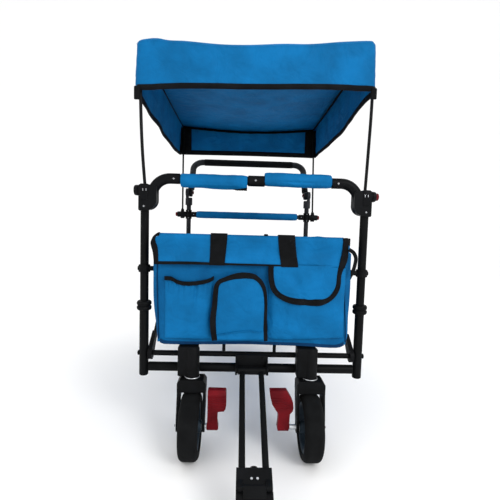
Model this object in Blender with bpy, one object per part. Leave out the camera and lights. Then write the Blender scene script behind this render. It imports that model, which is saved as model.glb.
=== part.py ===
"""Folding push and pull wagon with a canopy, modelled open and standing on its four wheels.

Metres, +Z up. X runs across the wagon and Y from its front (negative) to its rear.
Inside this file Y = 0 is the plane of the front posts. The parent empty then shifts everything
so that the origin lies on the ground below the middle of the whole object.
"""
import math

import bmesh
import bpy
from mathutils import Vector

# Overall layout
POST_X = 0.264          # half the distance between the posts' centrelines
DEPTH = 0.825           # front posts to rear posts, wagon open
ORIGIN_Y = 0.256        # middle of the whole object, measured from the front posts
GAP = 0.0003            # gap between pieces that touch
SIDES = ((-1, "left"), (1, "right"))

# Facets round the turned shapes
WHEEL_SIDES = 24
BOSS_SIDES = 12
TUBE_SIDES = 12
PIN_SIDES = 8

# Tubes of the two end frames
POST_R = 0.011
UPPER_POST_R = 0.010
WALL = 0.0014
POST_BOTTOM = 0.1785
FRONT_POST_TOP = 0.598
REAR_POST_TOP = 0.652
COUPLING_Z = 0.3495
CROSSBAR_Z = 0.1975
CROSSBAR_HALF = 0.2520

# Scissor linkage: three crossed pairs of arms between the end frames on each side
PAIRS = 3
SPAN = DEPTH / PAIRS
LOW_Z = 0.2315
HIGH_Z = 0.4395
MID_Z = (LOW_Z + HIGH_Z) / 2
ARM_R = 0.008           # half the arm's width, and the radius of its rounded ends
A_PLANE = (0.2435, 0.2495)
B_PLANE = (0.2355, 0.2415)
PIN_R = 0.003
PIN_FACE_X = 0.2790      # outer face of the pins that go through the posts
PIN_HOLE_R = 0.0034
RIVET_HEAD_R = 0.0052
TIE_ROD_R = 0.0055
COLLAR_OUTER_R = 0.0138
COLLAR_INNER_R = 0.0106
COLLAR_HALF = 0.009

# Wheels
WHEEL_R = 0.0762
TYRE_HALF = 0.0225
RIM_R = 0.057
HUB_R = 0.014
HUB_HALF = 0.0255
AXLE_R = 0.004
AXLE_HOLE_R = 0.0045
FRONT_STEM = (0.141, -0.034)
FRONT_AXLE_Y = -0.055
REAR_WHEEL_X = 0.205
REAR_STEM_Y = DEPTH + 0.034
REAR_AXLE_Y = 0.865
CROWN_TOP = 0.184
CROWN_BOTTOM = 0.158
CROWN_HALF = 0.0325
LEG_INNER = 0.0275
HOUSING_R = 0.0165
HOUSING_BOTTOM = 0.1865
HOUSING_TOP = 0.2615
STEM_R = 0.006
STEM_HOLE_R = 0.0066

# Front handle bar
BAR_Z = 0.655
ELBOW_X = 0.2465
ELBOW_R = 0.0125
ELBOW_BEND = 0.042
ELBOW_FOOT = 0.602
ELBOW_END = 0.1815
BAR_END = 0.2105
CASTING = (0.232, 0.2775, 0.577, 0.6385)
CASTING_HALF_DEPTH = 0.0155
LOBE_R = 0.024
GRIP_R = 0.0162
GRIP_SPAN = (0.0215, 0.1795)

# Canopy and its poles
POLE_R = 0.00375
POLE_TOP = 0.966
FRONT_POLE_FOOT = (0.2616, 0.608)
FRONT_POLE_TOP_X = 0.2755
REAR_POLE_X = 0.291
REAR_POLE_FOOT = 0.5655
POLE_BORE_R = 0.0056
SOCKET_R = 0.0126
FRONT_SOCKET_Z = 0.6255
FRONT_SOCKET_END = 0.2885
REAR_SOCKET_Z = 0.578
REAR_SOCKET_END = 0.3145
REAR_SOCKET_R = 0.0122
BUTTON_R = 0.0090
BUTTON_BORE_R = 0.0094
BUTTON_SEAT = 0.0095
BUTTON_LENGTH = 0.0125
BUTTON_PROUD = 0.0072
CLOTH = 0.002
CANOPY_TOP = 0.9755
CANOPY_FRONT_HALF = 0.2825
CANOPY_REAR_HALF = 0.298
CANOPY_FRONT_Y = -0.008
CANOPY_REAR_Y = DEPTH + 0.008
CANOPY_SAG = 0.013
CANOPY_MIDDLE_SAG = 0.012
FRONT_VALANCE_Z = 0.8645
CORNER_TIP_Z = 0.8415
REAR_VALANCE_Z = 0.8435

# Upper rear bar, with a clamp on each post and cups for the rear poles
REAR_BAR_R = 0.009
REAR_BAR_HALF = 0.240
CLAMP_R = 0.0132
CLAMP_HALF = 0.020
CUP_R = 0.0085
CUP_Z = (0.560, 0.602)
BAR_SLEEVE_HALF = 0.226
BAR_SLEEVE_R = 0.0155
POST_SLEEVE_Z = 0.6185
POST_SLEEVE_R = 0.0152
POST_SLEEVE_EDGES = (0.0012, 0.0030)   # cut off its foot and its head, where the push handle swings past

# Push handle at the rear
PUSH_HINGE = (0.830, 0.675)
PUSH_LEAN = math.radians(34)
PUSH_LENGTH = 0.1785
PUSH_R = 0.0138
PUSH_X = 0.256
PUSH_CORNER = 0.045
HINGE_R = 0.0185
HINGE_INNER = (0.2485, 0.2635)
HINGE_OUTER = (0.2645, 0.2785)
LOCK_R = 0.007

# Pull handle at the front
PULL_PIVOT = (-0.036, 0.2035)
PULL_SLOPE = math.radians(26.5)
PULL_TUBE_R = 0.0065
PULL_TUBE_X = 0.0225
KNUCKLE_HALF = 0.033
KNUCKLE_DEPTH = 0.011
UPPER_KNUCKLE = (0.238, 0.278)
LOWER_KNUCKLE = (0.2805, 0.320)
PULL_HINGE_AT = 0.27925
PULL_HINGE_LIFT = 0.0145
EAR_R = 0.0062
EAR_RELIEF_R = 0.0066
UPPER_EARS = (0.0210, 0.0300)
LOWER_EAR_HALF = 0.0205
PULL_GRIP_AT = 0.4275
PULL_GRIP_R = 0.012
PULL_GRIP_HALF = 0.056

# Basket and organiser bag
BASKET_HALF = 0.2285
BASKET_WALL = 0.003
FLOOR_BOTTOM = 0.2625
FLOOR_TOP = 0.2715
PANEL_HALF = 0.2300
FRONT_PANEL = (-0.0115, -0.0085)
FRONT_PANEL_TOP = 0.5205
REAR_PANEL = (DEPTH + 0.0085, DEPTH + 0.0115)
REAR_PANEL_TOP = 0.484
BAG_HALF = 0.2285
BAG_Z = (0.2667, 0.5255)
BAG_Y = (-0.034, -0.0120)


def material(name, colour, roughness, metallic=0.0):
    made = bpy.data.materials.new(name)
    made.use_nodes = True
    shader = made.node_tree.nodes["Principled BSDF"]
    shader.inputs["Base Color"].default_value = (*colour, 1.0)
    shader.inputs["Roughness"].default_value = roughness
    shader.inputs["Metallic"].default_value = metallic
    made.diffuse_color = (*colour, 1.0)
    return made


def clear_scene():
    for old in list(bpy.data.objects):
        bpy.data.objects.remove(old, do_unlink=True)


def side_vectors(axis):
    """Two unit vectors square to an axis; the first points down where it can."""
    start = Vector((0, 0, -1)) if abs(axis.z) < 0.9 else Vector((1, 0, 0))
    first = (start - axis * start.dot(axis)).normalized()
    return first, axis.cross(first).normalized()


def add_rings(bm, rings, looped):
    """Join rings of vertices, each a list of one or of n, into a surface."""
    pairs = list(zip(rings, rings[1:]))
    if looped:
        pairs.append((rings[-1], rings[0]))
    for low, high in pairs:
        count = max(len(low), len(high))
        for i in range(count):
            j = (i + 1) % count
            corners = [low[i % len(low)], low[j % len(low)], high[j % len(high)], high[i % len(high)]]
            face = list(dict.fromkeys(corners))
            if len(face) > 2:
                bm.faces.new(face)


def add_turned(bm, profile, base, axis, sides=TUBE_SIDES, looped=False, offset=0.0):
    """Revolve (radius, distance along the axis) pairs; offset turns the facets by part of a facet."""
    axis = Vector(axis).normalized()
    base = Vector(base)
    first, second = side_vectors(axis)
    rings = []
    for radius, along in profile:
        centre = base + axis * along
        if radius < 1e-6:
            rings.append([bm.verts.new(centre)])
            continue
        turns = [2 * math.pi * (i + offset) / sides for i in range(sides)]
        rings.append([
            bm.verts.new(centre + (first * math.cos(t) + second * math.sin(t)) * radius)
            for t in turns
        ])
    add_rings(bm, rings, looped)


def add_rod(bm, start, end, radius, sides=TUBE_SIDES, offset=0.0):
    start, end = Vector(start), Vector(end)
    length = (end - start).length
    profile = [(0, 0), (radius, 0), (radius, length), (0, length)]
    add_turned(bm, profile, start, end - start, sides, offset=offset)


def add_tube(bm, start, end, radius, bore, sides=TUBE_SIDES):
    start, end = Vector(start), Vector(end)
    length = (end - start).length
    profile = [(bore, 0), (radius, 0), (radius, length), (bore, length)]
    add_turned(bm, profile, start, end - start, sides, looped=True)


def filleted(points, radius, steps=6):
    """A path through the points with each inner corner rounded to a radius."""
    points = [Vector(p) for p in points]
    path = [points[0]]
    for before, corner, after in zip(points, points[1:], points[2:]):
        back = (before - corner).normalized()
        ahead = (after - corner).normalized()
        half = back.angle(ahead) / 2
        reach = radius / math.tan(half)
        centre = corner + (back + ahead).normalized() * (radius / math.sin(half))
        start = corner + back * reach - centre
        end = corner + ahead * reach - centre
        turn = start.angle(end)
        for i in range(steps + 1):
            part = i / steps
            weights = math.sin((1 - part) * turn), math.sin(part * turn)
            path.append(centre + (start * weights[0] + end * weights[1]) / math.sin(turn))
    path.append(points[-1])
    return path


def add_sweep(bm, path, radius, flat_normal, sides=TUBE_SIDES):
    """A round bar along a path that lies in the plane square to flat_normal."""
    normal = Vector(flat_normal).normalized()
    rings = []
    for i, point in enumerate(path):
        along = path[min(i + 1, len(path) - 1)] - path[max(i - 1, 0)]
        across = along.normalized().cross(normal)
        turns = [2 * math.pi * k / sides for k in range(sides)]
        rings.append([
            bm.verts.new(point + (normal * math.cos(t) + across * math.sin(t)) * radius)
            for t in turns
        ])
    add_rings(bm, rings, looped=False)
    bm.faces.new(rings[0])
    bm.faces.new(rings[-1])


def arc(centre, radius, start, end, steps):
    """Points on a circle from one angle to another, in degrees."""
    points = []
    for i in range(steps + 1):
        angle = math.radians(start + (end - start) * i / steps)
        points.append((centre[0] + radius * math.cos(angle), centre[1] + radius * math.sin(angle)))
    return points


def lift(point, level, axis):
    """Place a flat point at a level along the X, Y or Z axis."""
    first, second = point
    return {"X": (level, first, second), "Y": (first, level, second), "Z": (first, second, level)}[axis]


def add_plate(bm, outline, levels, axis, holes=()):
    """Extrude a flat outline with holes between two levels along an axis."""
    low, high = levels
    edges = []
    for loop in [outline, *holes]:
        verts = [bm.verts.new(lift(p, low, axis)) for p in loop]
        edges += [bm.edges.new((verts[i - 1], verts[i])) for i in range(len(verts))]
    normal = lift((0, 0), 1, axis)
    filled = bmesh.ops.triangle_fill(bm, edges=edges, use_beauty=True, normal=normal)
    faces = [g for g in filled["geom"] if isinstance(g, bmesh.types.BMFace)]
    made = bmesh.ops.extrude_face_region(bm, geom=faces)
    verts = [g for g in made["geom"] if isinstance(g, bmesh.types.BMVert)]
    bmesh.ops.translate(bm, verts=verts, vec=lift((0, 0), high - low, axis))


def add_slab(bm, x, y, z, bevel=0.0, segments=2):
    """A box between two levels on each axis, with its edges rounded."""
    size = Vector((x[1] - x[0], y[1] - y[0], z[1] - z[0]))
    centre = Vector((sum(x) / 2, sum(y) / 2, sum(z) / 2))
    made = bmesh.ops.create_cube(bm, size=1.0)
    for vert in made["verts"]:
        vert.co = centre + Vector(a * b for a, b in zip(vert.co, size))
    if bevel:
        edges = list({e for v in made["verts"] for e in v.link_edges})
        bmesh.ops.bevel(bm, geom=edges, offset=bevel, segments=segments, profile=0.5, affect="EDGES")


def span(sign, low, high):
    """A pair of X levels on one side of the wagon, in rising order."""
    return tuple(sorted((sign * low, sign * high)))


class Workshop:
    """Makes the named solids under one parent empty."""

    def __init__(self):
        self.root = bpy.data.objects.new("wagon", None)
        self.root.location = (0, -ORIGIN_Y, 0)
        bpy.context.scene.collection.objects.link(self.root)

    def mesh_object(self, name, bm, finish, origin):
        bmesh.ops.recalc_face_normals(bm, faces=bm.faces)
        bmesh.ops.translate(bm, verts=bm.verts, vec=-Vector(origin))
        mesh = bpy.data.meshes.new(name)
        bm.to_mesh(mesh)
        bm.free()
        mesh.materials.append(finish)
        mesh.shade_smooth()
        mesh.set_sharp_from_angle(angle=math.radians(35))
        made = bpy.data.objects.new(name, mesh)
        made.parent = self.root
        made.location = origin
        bpy.context.scene.collection.objects.link(made)
        return made

    def solid(self, name, bm, finish, origin=(0, 0, 0), joins=(), cuts=()):
        """One named solid: a base shape with other shapes joined to it and cut from it."""
        made = self.mesh_object(name, bm, finish, origin)
        steps = [("UNION", shape) for shape in joins] + [("DIFFERENCE", shape) for shape in cuts]
        for index, (operation, shape) in enumerate(steps):
            tool = self.mesh_object(f"{name}_tool_{index}", shape, finish, origin)
            tool.hide_render = True
            tool.display_type = "WIRE"
            modifier = made.modifiers.new(f"{operation.lower()}_{index}", "BOOLEAN")
            modifier.operation = operation
            modifier.object = tool
            modifier.solver = "EXACT"
        return made


def post_profile(bottom, top, sleeved=False):
    """A closed-ended tube with a bulged coupling, narrower above it, and a sleeve at its top or none."""
    profile = [(0, bottom), (POST_R - 0.001, bottom), (POST_R, bottom + 0.001)]
    profile += [(POST_R, COUPLING_Z - 0.0112)]
    for radius, rise in ((0.0158, -0.0108), (0.0175, -0.0065), (0.0150, -0.0008)):
        profile.append((radius, COUPLING_Z + rise))
    for radius, rise in ((0.0150, 0.0008), (0.0175, 0.0065), (0.0158, 0.0108)):
        profile.append((radius, COUPLING_Z + rise))
    profile += [(UPPER_POST_R, COUPLING_Z + 0.0112)]
    if sleeved:
        foot, head = POST_SLEEVE_EDGES
        profile += [(UPPER_POST_R, POST_SLEEVE_Z), (POST_SLEEVE_R - foot, POST_SLEEVE_Z)]
        profile += [(POST_SLEEVE_R, POST_SLEEVE_Z + foot), (POST_SLEEVE_R, top - head), (POST_SLEEVE_R - head, top)]
    else:
        profile.append((UPPER_POST_R, top))
    bore, floor = UPPER_POST_R - WALL, bottom + 0.004
    return profile + [(bore, top), (bore, floor), (0, floor)]


def front_posts(shop, paint):
    """Uprights of the front frame, each with the rivet that the first arm turns on."""
    for sign, side in SIDES:
        post, rivet = bmesh.new(), bmesh.new()
        add_turned(post, post_profile(POST_BOTTOM, FRONT_POST_TOP), (sign * POST_X, 0, 0), (0, 0, 1))
        profile = [(0, 0), (0.0045, 0), (0.006, 0.0015), (0.006, 0.005), (PIN_R, 0.005)]
        length = PIN_FACE_X - A_PLANE[0] - 0.0015
        profile += [(PIN_R, length), (0, length)]
        add_turned(rivet, profile, (sign * PIN_FACE_X, 0, LOW_Z), (-sign, 0, 0), PIN_SIDES)
        shop.solid(f"front_post_{side}", post, paint, joins=[rivet])


def rear_posts(shop, paint):
    """Uprights of the rear frame, each with its arm pin and the fixed half of the push handle's hinge."""
    hinge_y, hinge_z = PUSH_HINGE
    for sign, side in SIDES:
        post, pin, hinge = bmesh.new(), bmesh.new(), bmesh.new()
        profile = post_profile(POST_BOTTOM, REAR_POST_TOP, sleeved=True)
        add_turned(post, profile, (sign * POST_X, DEPTH, 0), (0, 0, 1))
        boss = PIN_FACE_X - B_PLANE[1] - 0.0008
        tip = PIN_FACE_X - B_PLANE[0] - 0.0018
        profile = [(0, 0), (0.0045, 0), (0.0065, 0.0015), (0.0065, boss), (PIN_R, boss), (PIN_R, tip), (0, tip)]
        add_turned(pin, profile, (sign * PIN_FACE_X, DEPTH, LOW_Z), (-sign, 0, 0), PIN_SIDES)
        width = HINGE_OUTER[1] - HINGE_OUTER[0]
        reach = HINGE_OUTER[1] - PUSH_X
        profile = [(0, 0), (HINGE_R - 0.002, 0), (HINGE_R, 0.002), (HINGE_R, width), (AXLE_R, width)]
        profile += [(AXLE_R, reach), (0, reach)]
        add_turned(hinge, profile, (sign * HINGE_OUTER[1], hinge_y, hinge_z), (-sign, 0, 0), BOSS_SIDES)
        neck = bmesh.new()
        across = span(sign, HINGE_OUTER[0] + 0.0001, HINGE_OUTER[1])
        add_slab(neck, across, (DEPTH - 0.008, DEPTH + 0.010), (0.640, 0.664), 0.002, 1)
        shop.solid(f"rear_post_{side}", post, paint, joins=[pin, neck, hinge])


def crossbars(shop, paint):
    """Lower tubes that hold each frame's posts apart."""
    for name, y in (("front_crossbar", 0.0), ("rear_crossbar", DEPTH)):
        bar = bmesh.new()
        ends = (-CROSSBAR_HALF, y, CROSSBAR_Z), (CROSSBAR_HALF, y, CROSSBAR_Z)
        add_tube(bar, *ends, POST_R, POST_R - WALL)
        shop.solid(name, bar, paint)


def arm_outline(start, end):
    """A straight bar with round ends, in the side view."""
    start, end = Vector(start), Vector(end)
    angle = math.degrees(math.atan2(end.y - start.y, end.x - start.x))
    return arc(start, ARM_R, angle + 90, angle + 270, 6) + arc(end, ARM_R, angle - 90, angle + 90, 6)


def pin_hole(centre):
    return arc(centre, PIN_HOLE_R, 0, 360 - 360 / PIN_SIDES, PIN_SIDES - 1)


def add_rivet(bm, sign, centre):
    """A rivet from inside an outer arm through an inner arm to its head."""
    start = A_PLANE[0] + 0.001
    reach = start - B_PLANE[0]
    profile = [(0, 0), (PIN_R, 0), (PIN_R, reach + 0.0004), (RIVET_HEAD_R, reach + 0.0004)]
    profile += [(0.0035, reach + 0.0018), (0, reach + 0.0018)]
    add_turned(bm, profile, (sign * start, *centre), (-sign, 0, 0), PIN_SIDES)


def outer_arms(shop, paint):
    """Arms that rise towards the rear. A tie rod under the floor makes each pair one piece."""
    for index in range(PAIRS):
        low = (index * SPAN, LOW_Z)
        high = ((index + 1) * SPAN, HIGH_Z)
        middle = ((index + 0.5) * SPAN, MID_Z)
        arms, pins = bmesh.new(), bmesh.new()
        holes = []
        if index == 0:
            holes.append(pin_hole(low))
        if index == PAIRS - 1:
            holes.append(pin_hole(high))
        for sign, _ in SIDES:
            add_plate(arms, arm_outline(low, high), span(sign, *A_PLANE), "X", holes)
            add_rivet(pins, sign, middle)
            if index < PAIRS - 1:
                add_rivet(pins, sign, high)
        inner, outer = B_PLANE[0] - 0.001, A_PLANE[0] + 0.001
        if index == 0:
            profile = [(0, -outer), (TIE_ROD_R, -outer), (TIE_ROD_R, outer), (0, outer)]
        else:
            profile = [(0, -outer), (PIN_R, -outer), (PIN_R, -inner), (TIE_ROD_R, -inner)]
            profile += [(TIE_ROD_R, inner), (PIN_R, inner), (PIN_R, outer), (0, outer)]
        add_turned(pins, profile, (0, *low), (1, 0, 0), PIN_SIDES)
        shop.solid(f"outer_arms_{index + 1}", arms, paint, (0, *low), joins=[pins])


def inner_arms(shop, paint):
    """Arms that fall towards the rear. The last pair carries the rear tie rod."""
    for index in range(PAIRS):
        high = (index * SPAN, HIGH_Z)
        low = ((index + 1) * SPAN, LOW_Z)
        middle = ((index + 0.5) * SPAN, MID_Z)
        holes = [pin_hole(p) for p in (high, middle, low)]
        origin = (0, *(middle if index == 0 else high))
        if index == PAIRS - 1:
            arms, rod = bmesh.new(), bmesh.new()
            for sign, _ in SIDES:
                add_plate(arms, arm_outline(high, low), span(sign, *B_PLANE), "X", holes)
            end = B_PLANE[0] + 0.001
            add_rod(rod, (-end, *low), (end, *low), TIE_ROD_R, PIN_SIDES)
            shop.solid(f"inner_arms_{index + 1}", arms, paint, origin, joins=[rod])
            continue
        for sign, side in SIDES:
            arm = bmesh.new()
            add_plate(arm, arm_outline(high, low), span(sign, *B_PLANE), "X", holes)
            shop.solid(f"inner_arm_{index + 1}_{side}", arm, paint, origin)


def collars(shop, plastic):
    """Sliding collars on the posts that carry the upper ends of the outermost arms."""
    rows = (("front", 0.0, B_PLANE), ("rear", DEPTH, A_PLANE))
    for end, y, plane in rows:
        for sign, side in SIDES:
            ring, stub = bmesh.new(), bmesh.new()
            profile = [(COLLAR_INNER_R, -COLLAR_HALF), (COLLAR_OUTER_R - 0.001, -COLLAR_HALF)]
            profile += [(COLLAR_OUTER_R, 0.001 - COLLAR_HALF), (COLLAR_OUTER_R, COLLAR_HALF - 0.001)]
            profile += [(COLLAR_OUTER_R - 0.001, COLLAR_HALF), (COLLAR_INNER_R, COLLAR_HALF)]
            add_turned(ring, profile, (sign * POST_X, y, HIGH_Z), (0, 0, 1), BOSS_SIDES, looped=True, offset=0.5)
            start = POST_X - COLLAR_INNER_R - 0.001
            boss = start - min(plane[1] + 0.0006, 0.2520)
            reach = start - plane[0]
            head = 0.0004 if end == "front" else 0.0003
            profile = [(0, 0), (0.006, 0), (0.006, boss), (PIN_R, boss), (PIN_R, reach + head)]
            profile += [(RIVET_HEAD_R, reach + head), (RIVET_HEAD_R, reach + head + 0.001)]
            profile += [(0, reach + head + 0.001)]
            add_turned(stub, profile, (sign * start, y, HIGH_Z), (-sign, 0, 0), PIN_SIDES)
            knob = bmesh.new()
            add_rod(knob, (sign * (POST_X + 0.0125), y, HIGH_Z), (sign * 0.2795, y, HIGH_Z), 0.0055, PIN_SIDES)
            origin = (sign * POST_X, y, HIGH_Z)
            shop.solid(f"{end}_collar_{side}", ring, plastic, origin, joins=[stub, knob])


def tyre_profile():
    """Section of the tyre as (radius, distance across), all the way round."""
    side = [(RIM_R + GAP, 0.0185), (0.0630, TYRE_HALF), (0.0715, 0.0210), (WHEEL_R, 0.0105)]
    return side + [(radius, -across) for radius, across in reversed(side)]


def rim_profile(outside):
    """Section of hub, web and rim, closed through the given outside points."""
    side = [(AXLE_HOLE_R, HUB_HALF), (HUB_R - 0.002, HUB_HALF), (HUB_R + 0.001, 0.005)]
    side += [(0.048, 0.004), (0.0495, 0.0185)]
    return side + outside + [(radius, -across) for radius, across in reversed(side)]


def add_windows(bm, centre):
    """Five openings between the spokes, as shapes to cut from a rim."""
    y, z = centre[1], centre[2]
    for index in range(5):
        middle = 90 + index * 72
        outline = arc((y, z), 0.0445, middle - 25, middle + 25, 2)
        outline += arc((y, z), 0.0215, middle + 17, middle - 17, 1)
        add_plate(bm, outline, (centre[0] - 0.010, centre[0] + 0.010), "X")


def add_wheel(shop, name, centre, rubber, rim_finish):
    rim, windows, tyre = bmesh.new(), bmesh.new(), bmesh.new()
    edge = [(RIM_R, 0.0185), (RIM_R, -0.0185)]
    add_turned(rim, rim_profile(edge), centre, (1, 0, 0), WHEEL_SIDES, looped=True)
    add_windows(windows, centre)
    shop.solid(f"{name}_rim", rim, rim_finish, centre, cuts=[windows])
    add_turned(tyre, tyre_profile(), centre, (1, 0, 0), WHEEL_SIDES, looped=True)
    shop.solid(f"{name}_tyre", tyre, rubber, centre)


def add_solid_wheel(shop, name, centre, rubber):
    """Rear wheel with its tyre moulded onto the rim."""
    wheel, windows = bmesh.new(), bmesh.new()
    outside = [p for p in tyre_profile() if p[0] > RIM_R + 0.001]
    add_turned(wheel, rim_profile(outside), centre, (1, 0, 0), WHEEL_SIDES, looped=True)
    add_windows(windows, centre)
    shop.solid(name, wheel, rubber, centre, cuts=[windows])


def leg_outline(stem_y, axle_y):
    """Side view of a fork leg, from the crown down round the axle."""
    ahead = 1 if axle_y > stem_y else -1
    top = [(stem_y - ahead * 0.019, 0.168), (stem_y - ahead * 0.019, 0.178)]
    top += [(stem_y + ahead * 0.030, 0.178), (stem_y + ahead * 0.036, 0.168)]
    end = arc((axle_y, WHEEL_R), 0.014, 10, -190, 8)
    if ahead < 0:
        end.reverse()
    return top + end


def leg_slot(stem_y, axle_y):
    """Long window in a fork leg."""
    ahead = 1 if axle_y > stem_y else -1
    high = (stem_y + ahead * 0.010, 0.142)
    low = (axle_y - ahead * 0.002, 0.108)
    slope = math.degrees(math.atan2(high[1] - low[1], high[0] - low[0]))
    return arc(high, 0.0055, slope - 90, slope + 90, 3) + arc(low, 0.0055, slope + 90, slope + 270, 3)


def fork_shapes(x, stem_y, axle_y, axle_span):
    """Crown, two legs and the axle pin of one wheel fork."""
    crown, legs, axle = bmesh.new(), bmesh.new(), bmesh.new()
    ahead = 1 if axle_y > stem_y else -1
    depth = sorted((stem_y - ahead * 0.020, stem_y + ahead * 0.036))
    outline = [(x - CROWN_HALF, CROWN_BOTTOM), (x + CROWN_HALF, CROWN_BOTTOM)]
    outline += [(x + CROWN_HALF, CROWN_TOP - 0.009), (x + CROWN_HALF - 0.009, CROWN_TOP)]
    outline += [(x - CROWN_HALF + 0.009, CROWN_TOP), (x - CROWN_HALF, CROWN_TOP - 0.009)]
    add_plate(crown, outline, depth, "Y")
    for sign in (-1, 1):
        levels = sorted((x + sign * LEG_INNER, x + sign * (CROWN_HALF - GAP)))
        add_plate(legs, leg_outline(stem_y, axle_y), levels, "X", [leg_slot(stem_y, axle_y)])
    add_rod(axle, (axle_span[0], axle_y, WHEEL_R), (axle_span[1], axle_y, WHEEL_R), AXLE_R, PIN_SIDES)
    return crown, legs, axle


def housing_shapes(x, stem_y, bar_y, block_sign):
    """Cast bracket beside a crossbar: round stem housing and a side block with a saddle for the bar."""
    away = 1 if stem_y > bar_y else -1
    housing, block, saddle = bmesh.new(), bmesh.new(), bmesh.new()
    profile = [(0, 0), (HOUSING_R - 0.0015, 0), (HOUSING_R, 0.0015), (HOUSING_R, 0.070), (0.0125, 0.075), (0, 0.075)]
    add_turned(housing, profile, (x, stem_y, HOUSING_BOTTOM), (0, 0, 1), BOSS_SIDES)
    depth = sorted((bar_y + away * 0.0075, stem_y + away * 0.0115))
    width = sorted((x - block_sign * 0.0125, x + block_sign * 0.0340))
    add_slab(block, width, depth, (HOUSING_BOTTOM + 0.004, HOUSING_TOP), 0.002, 1)
    add_rod(saddle, (x - 0.06, bar_y, CROSSBAR_Z), (x + 0.06, bar_y, CROSSBAR_Z), POST_R + GAP)
    return housing, block, saddle


def casters(shop, looks):
    """Front swivel casters: bracket, fork, wheel and brake pedal on each side."""
    for sign, side in SIDES:
        x, y = sign * FRONT_STEM[0], FRONT_STEM[1]
        housing, block, saddle = housing_shapes(x, y, 0.0, -1)
        bore = bmesh.new()
        add_rod(bore, (x, y, HOUSING_BOTTOM - 0.01), (x, y, 0.2375), STEM_HOLE_R, 12)
        shop.solid(f"caster_bracket_{side}", housing, looks["plastic"], joins=[block], cuts=[saddle, bore])
        inboard = x - sign * 0.0670
        crown, legs, axle = fork_shapes(x, y, FRONT_AXLE_Y, (x + sign * 0.0345, inboard))
        stem = bmesh.new()
        profile = [(0, -0.010), (0.0135, -0.010), (0.0135, 0.0020), (STEM_R, 0.0020), (STEM_R, 0.050), (0, 0.050)]
        add_turned(stem, profile, (x, y, CROWN_TOP), (0, 0, 1), 12)
        shop.solid(f"caster_fork_{side}", crown, looks["plastic"], (x, y, CROWN_TOP), joins=[legs, axle, stem])
        add_wheel(shop, f"front_wheel_{side}", (x, FRONT_AXLE_Y, WHEEL_R), looks["rubber"], looks["rim"])
        brake_pedal(shop, side, sign, x, looks["red"])


def brake_pedal(shop, side, sign, x, finish):
    """Ribbed foot pedal that turns on the inner end of a caster's axle."""
    y, z = FRONT_AXLE_Y, WHEEL_R
    shank, pad, bore = bmesh.new(), bmesh.new(), bmesh.new()
    outline = arc((y, z), 0.0105, 180, 360, 6)
    outline += [(y + 0.004, z + 0.056), (y - 0.0115, z + 0.056)]
    add_plate(shank, outline, span(1, x - sign * 0.0385, x - sign * 0.0655), "X")
    face = []
    ridges = 6
    for index in range(ridges):
        height = 0.128 + 0.049 * index / ridges
        lean = 0.009 * index / ridges
        face += [(y - 0.0125 - lean, height), (y - 0.0155 - lean, height + 0.002)]
        face += [(y - 0.0155 - lean, height + 0.0045), (y - 0.0130 - lean, height + 0.0062)]
    outline = [(y + 0.0045, 0.128), (y - 0.0035, 0.177), (y - 0.0215, 0.1775)]
    outline = outline + list(reversed(face))
    add_plate(pad, outline, span(1, x - sign * 0.0410, x - sign * 0.0840), "X")
    add_rod(bore, (x - sign * 0.03, y, z), (x - sign * 0.075, y, z), AXLE_HOLE_R, PIN_SIDES)
    shop.solid(f"brake_pedal_{side}", shank, finish, (x, y, z), joins=[pad], cuts=[bore])


def rear_wheels(shop, looks):
    """Fixed rear wheels, each in a fork cast in one with its bracket."""
    for sign, side in SIDES:
        x = sign * REAR_WHEEL_X
        crown, legs, axle = fork_shapes(x, REAR_STEM_Y, REAR_AXLE_Y, (x - 0.0345, x + 0.0345))
        housing, block, saddle = housing_shapes(x, REAR_STEM_Y, DEPTH, -sign)
        neck = bmesh.new()
        add_rod(neck, (x, REAR_STEM_Y, CROWN_TOP - 0.008), (x, REAR_STEM_Y, HOUSING_BOTTOM + 0.01), 0.0135, 12)
        parts = [legs, axle, neck, housing, block]
        shop.solid(f"rear_fork_{side}", crown, looks["plastic"], joins=parts, cuts=[saddle])
        add_solid_wheel(shop, f"rear_wheel_{side}", (x, REAR_AXLE_Y, WHEEL_R), looks["rubber"])


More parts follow.
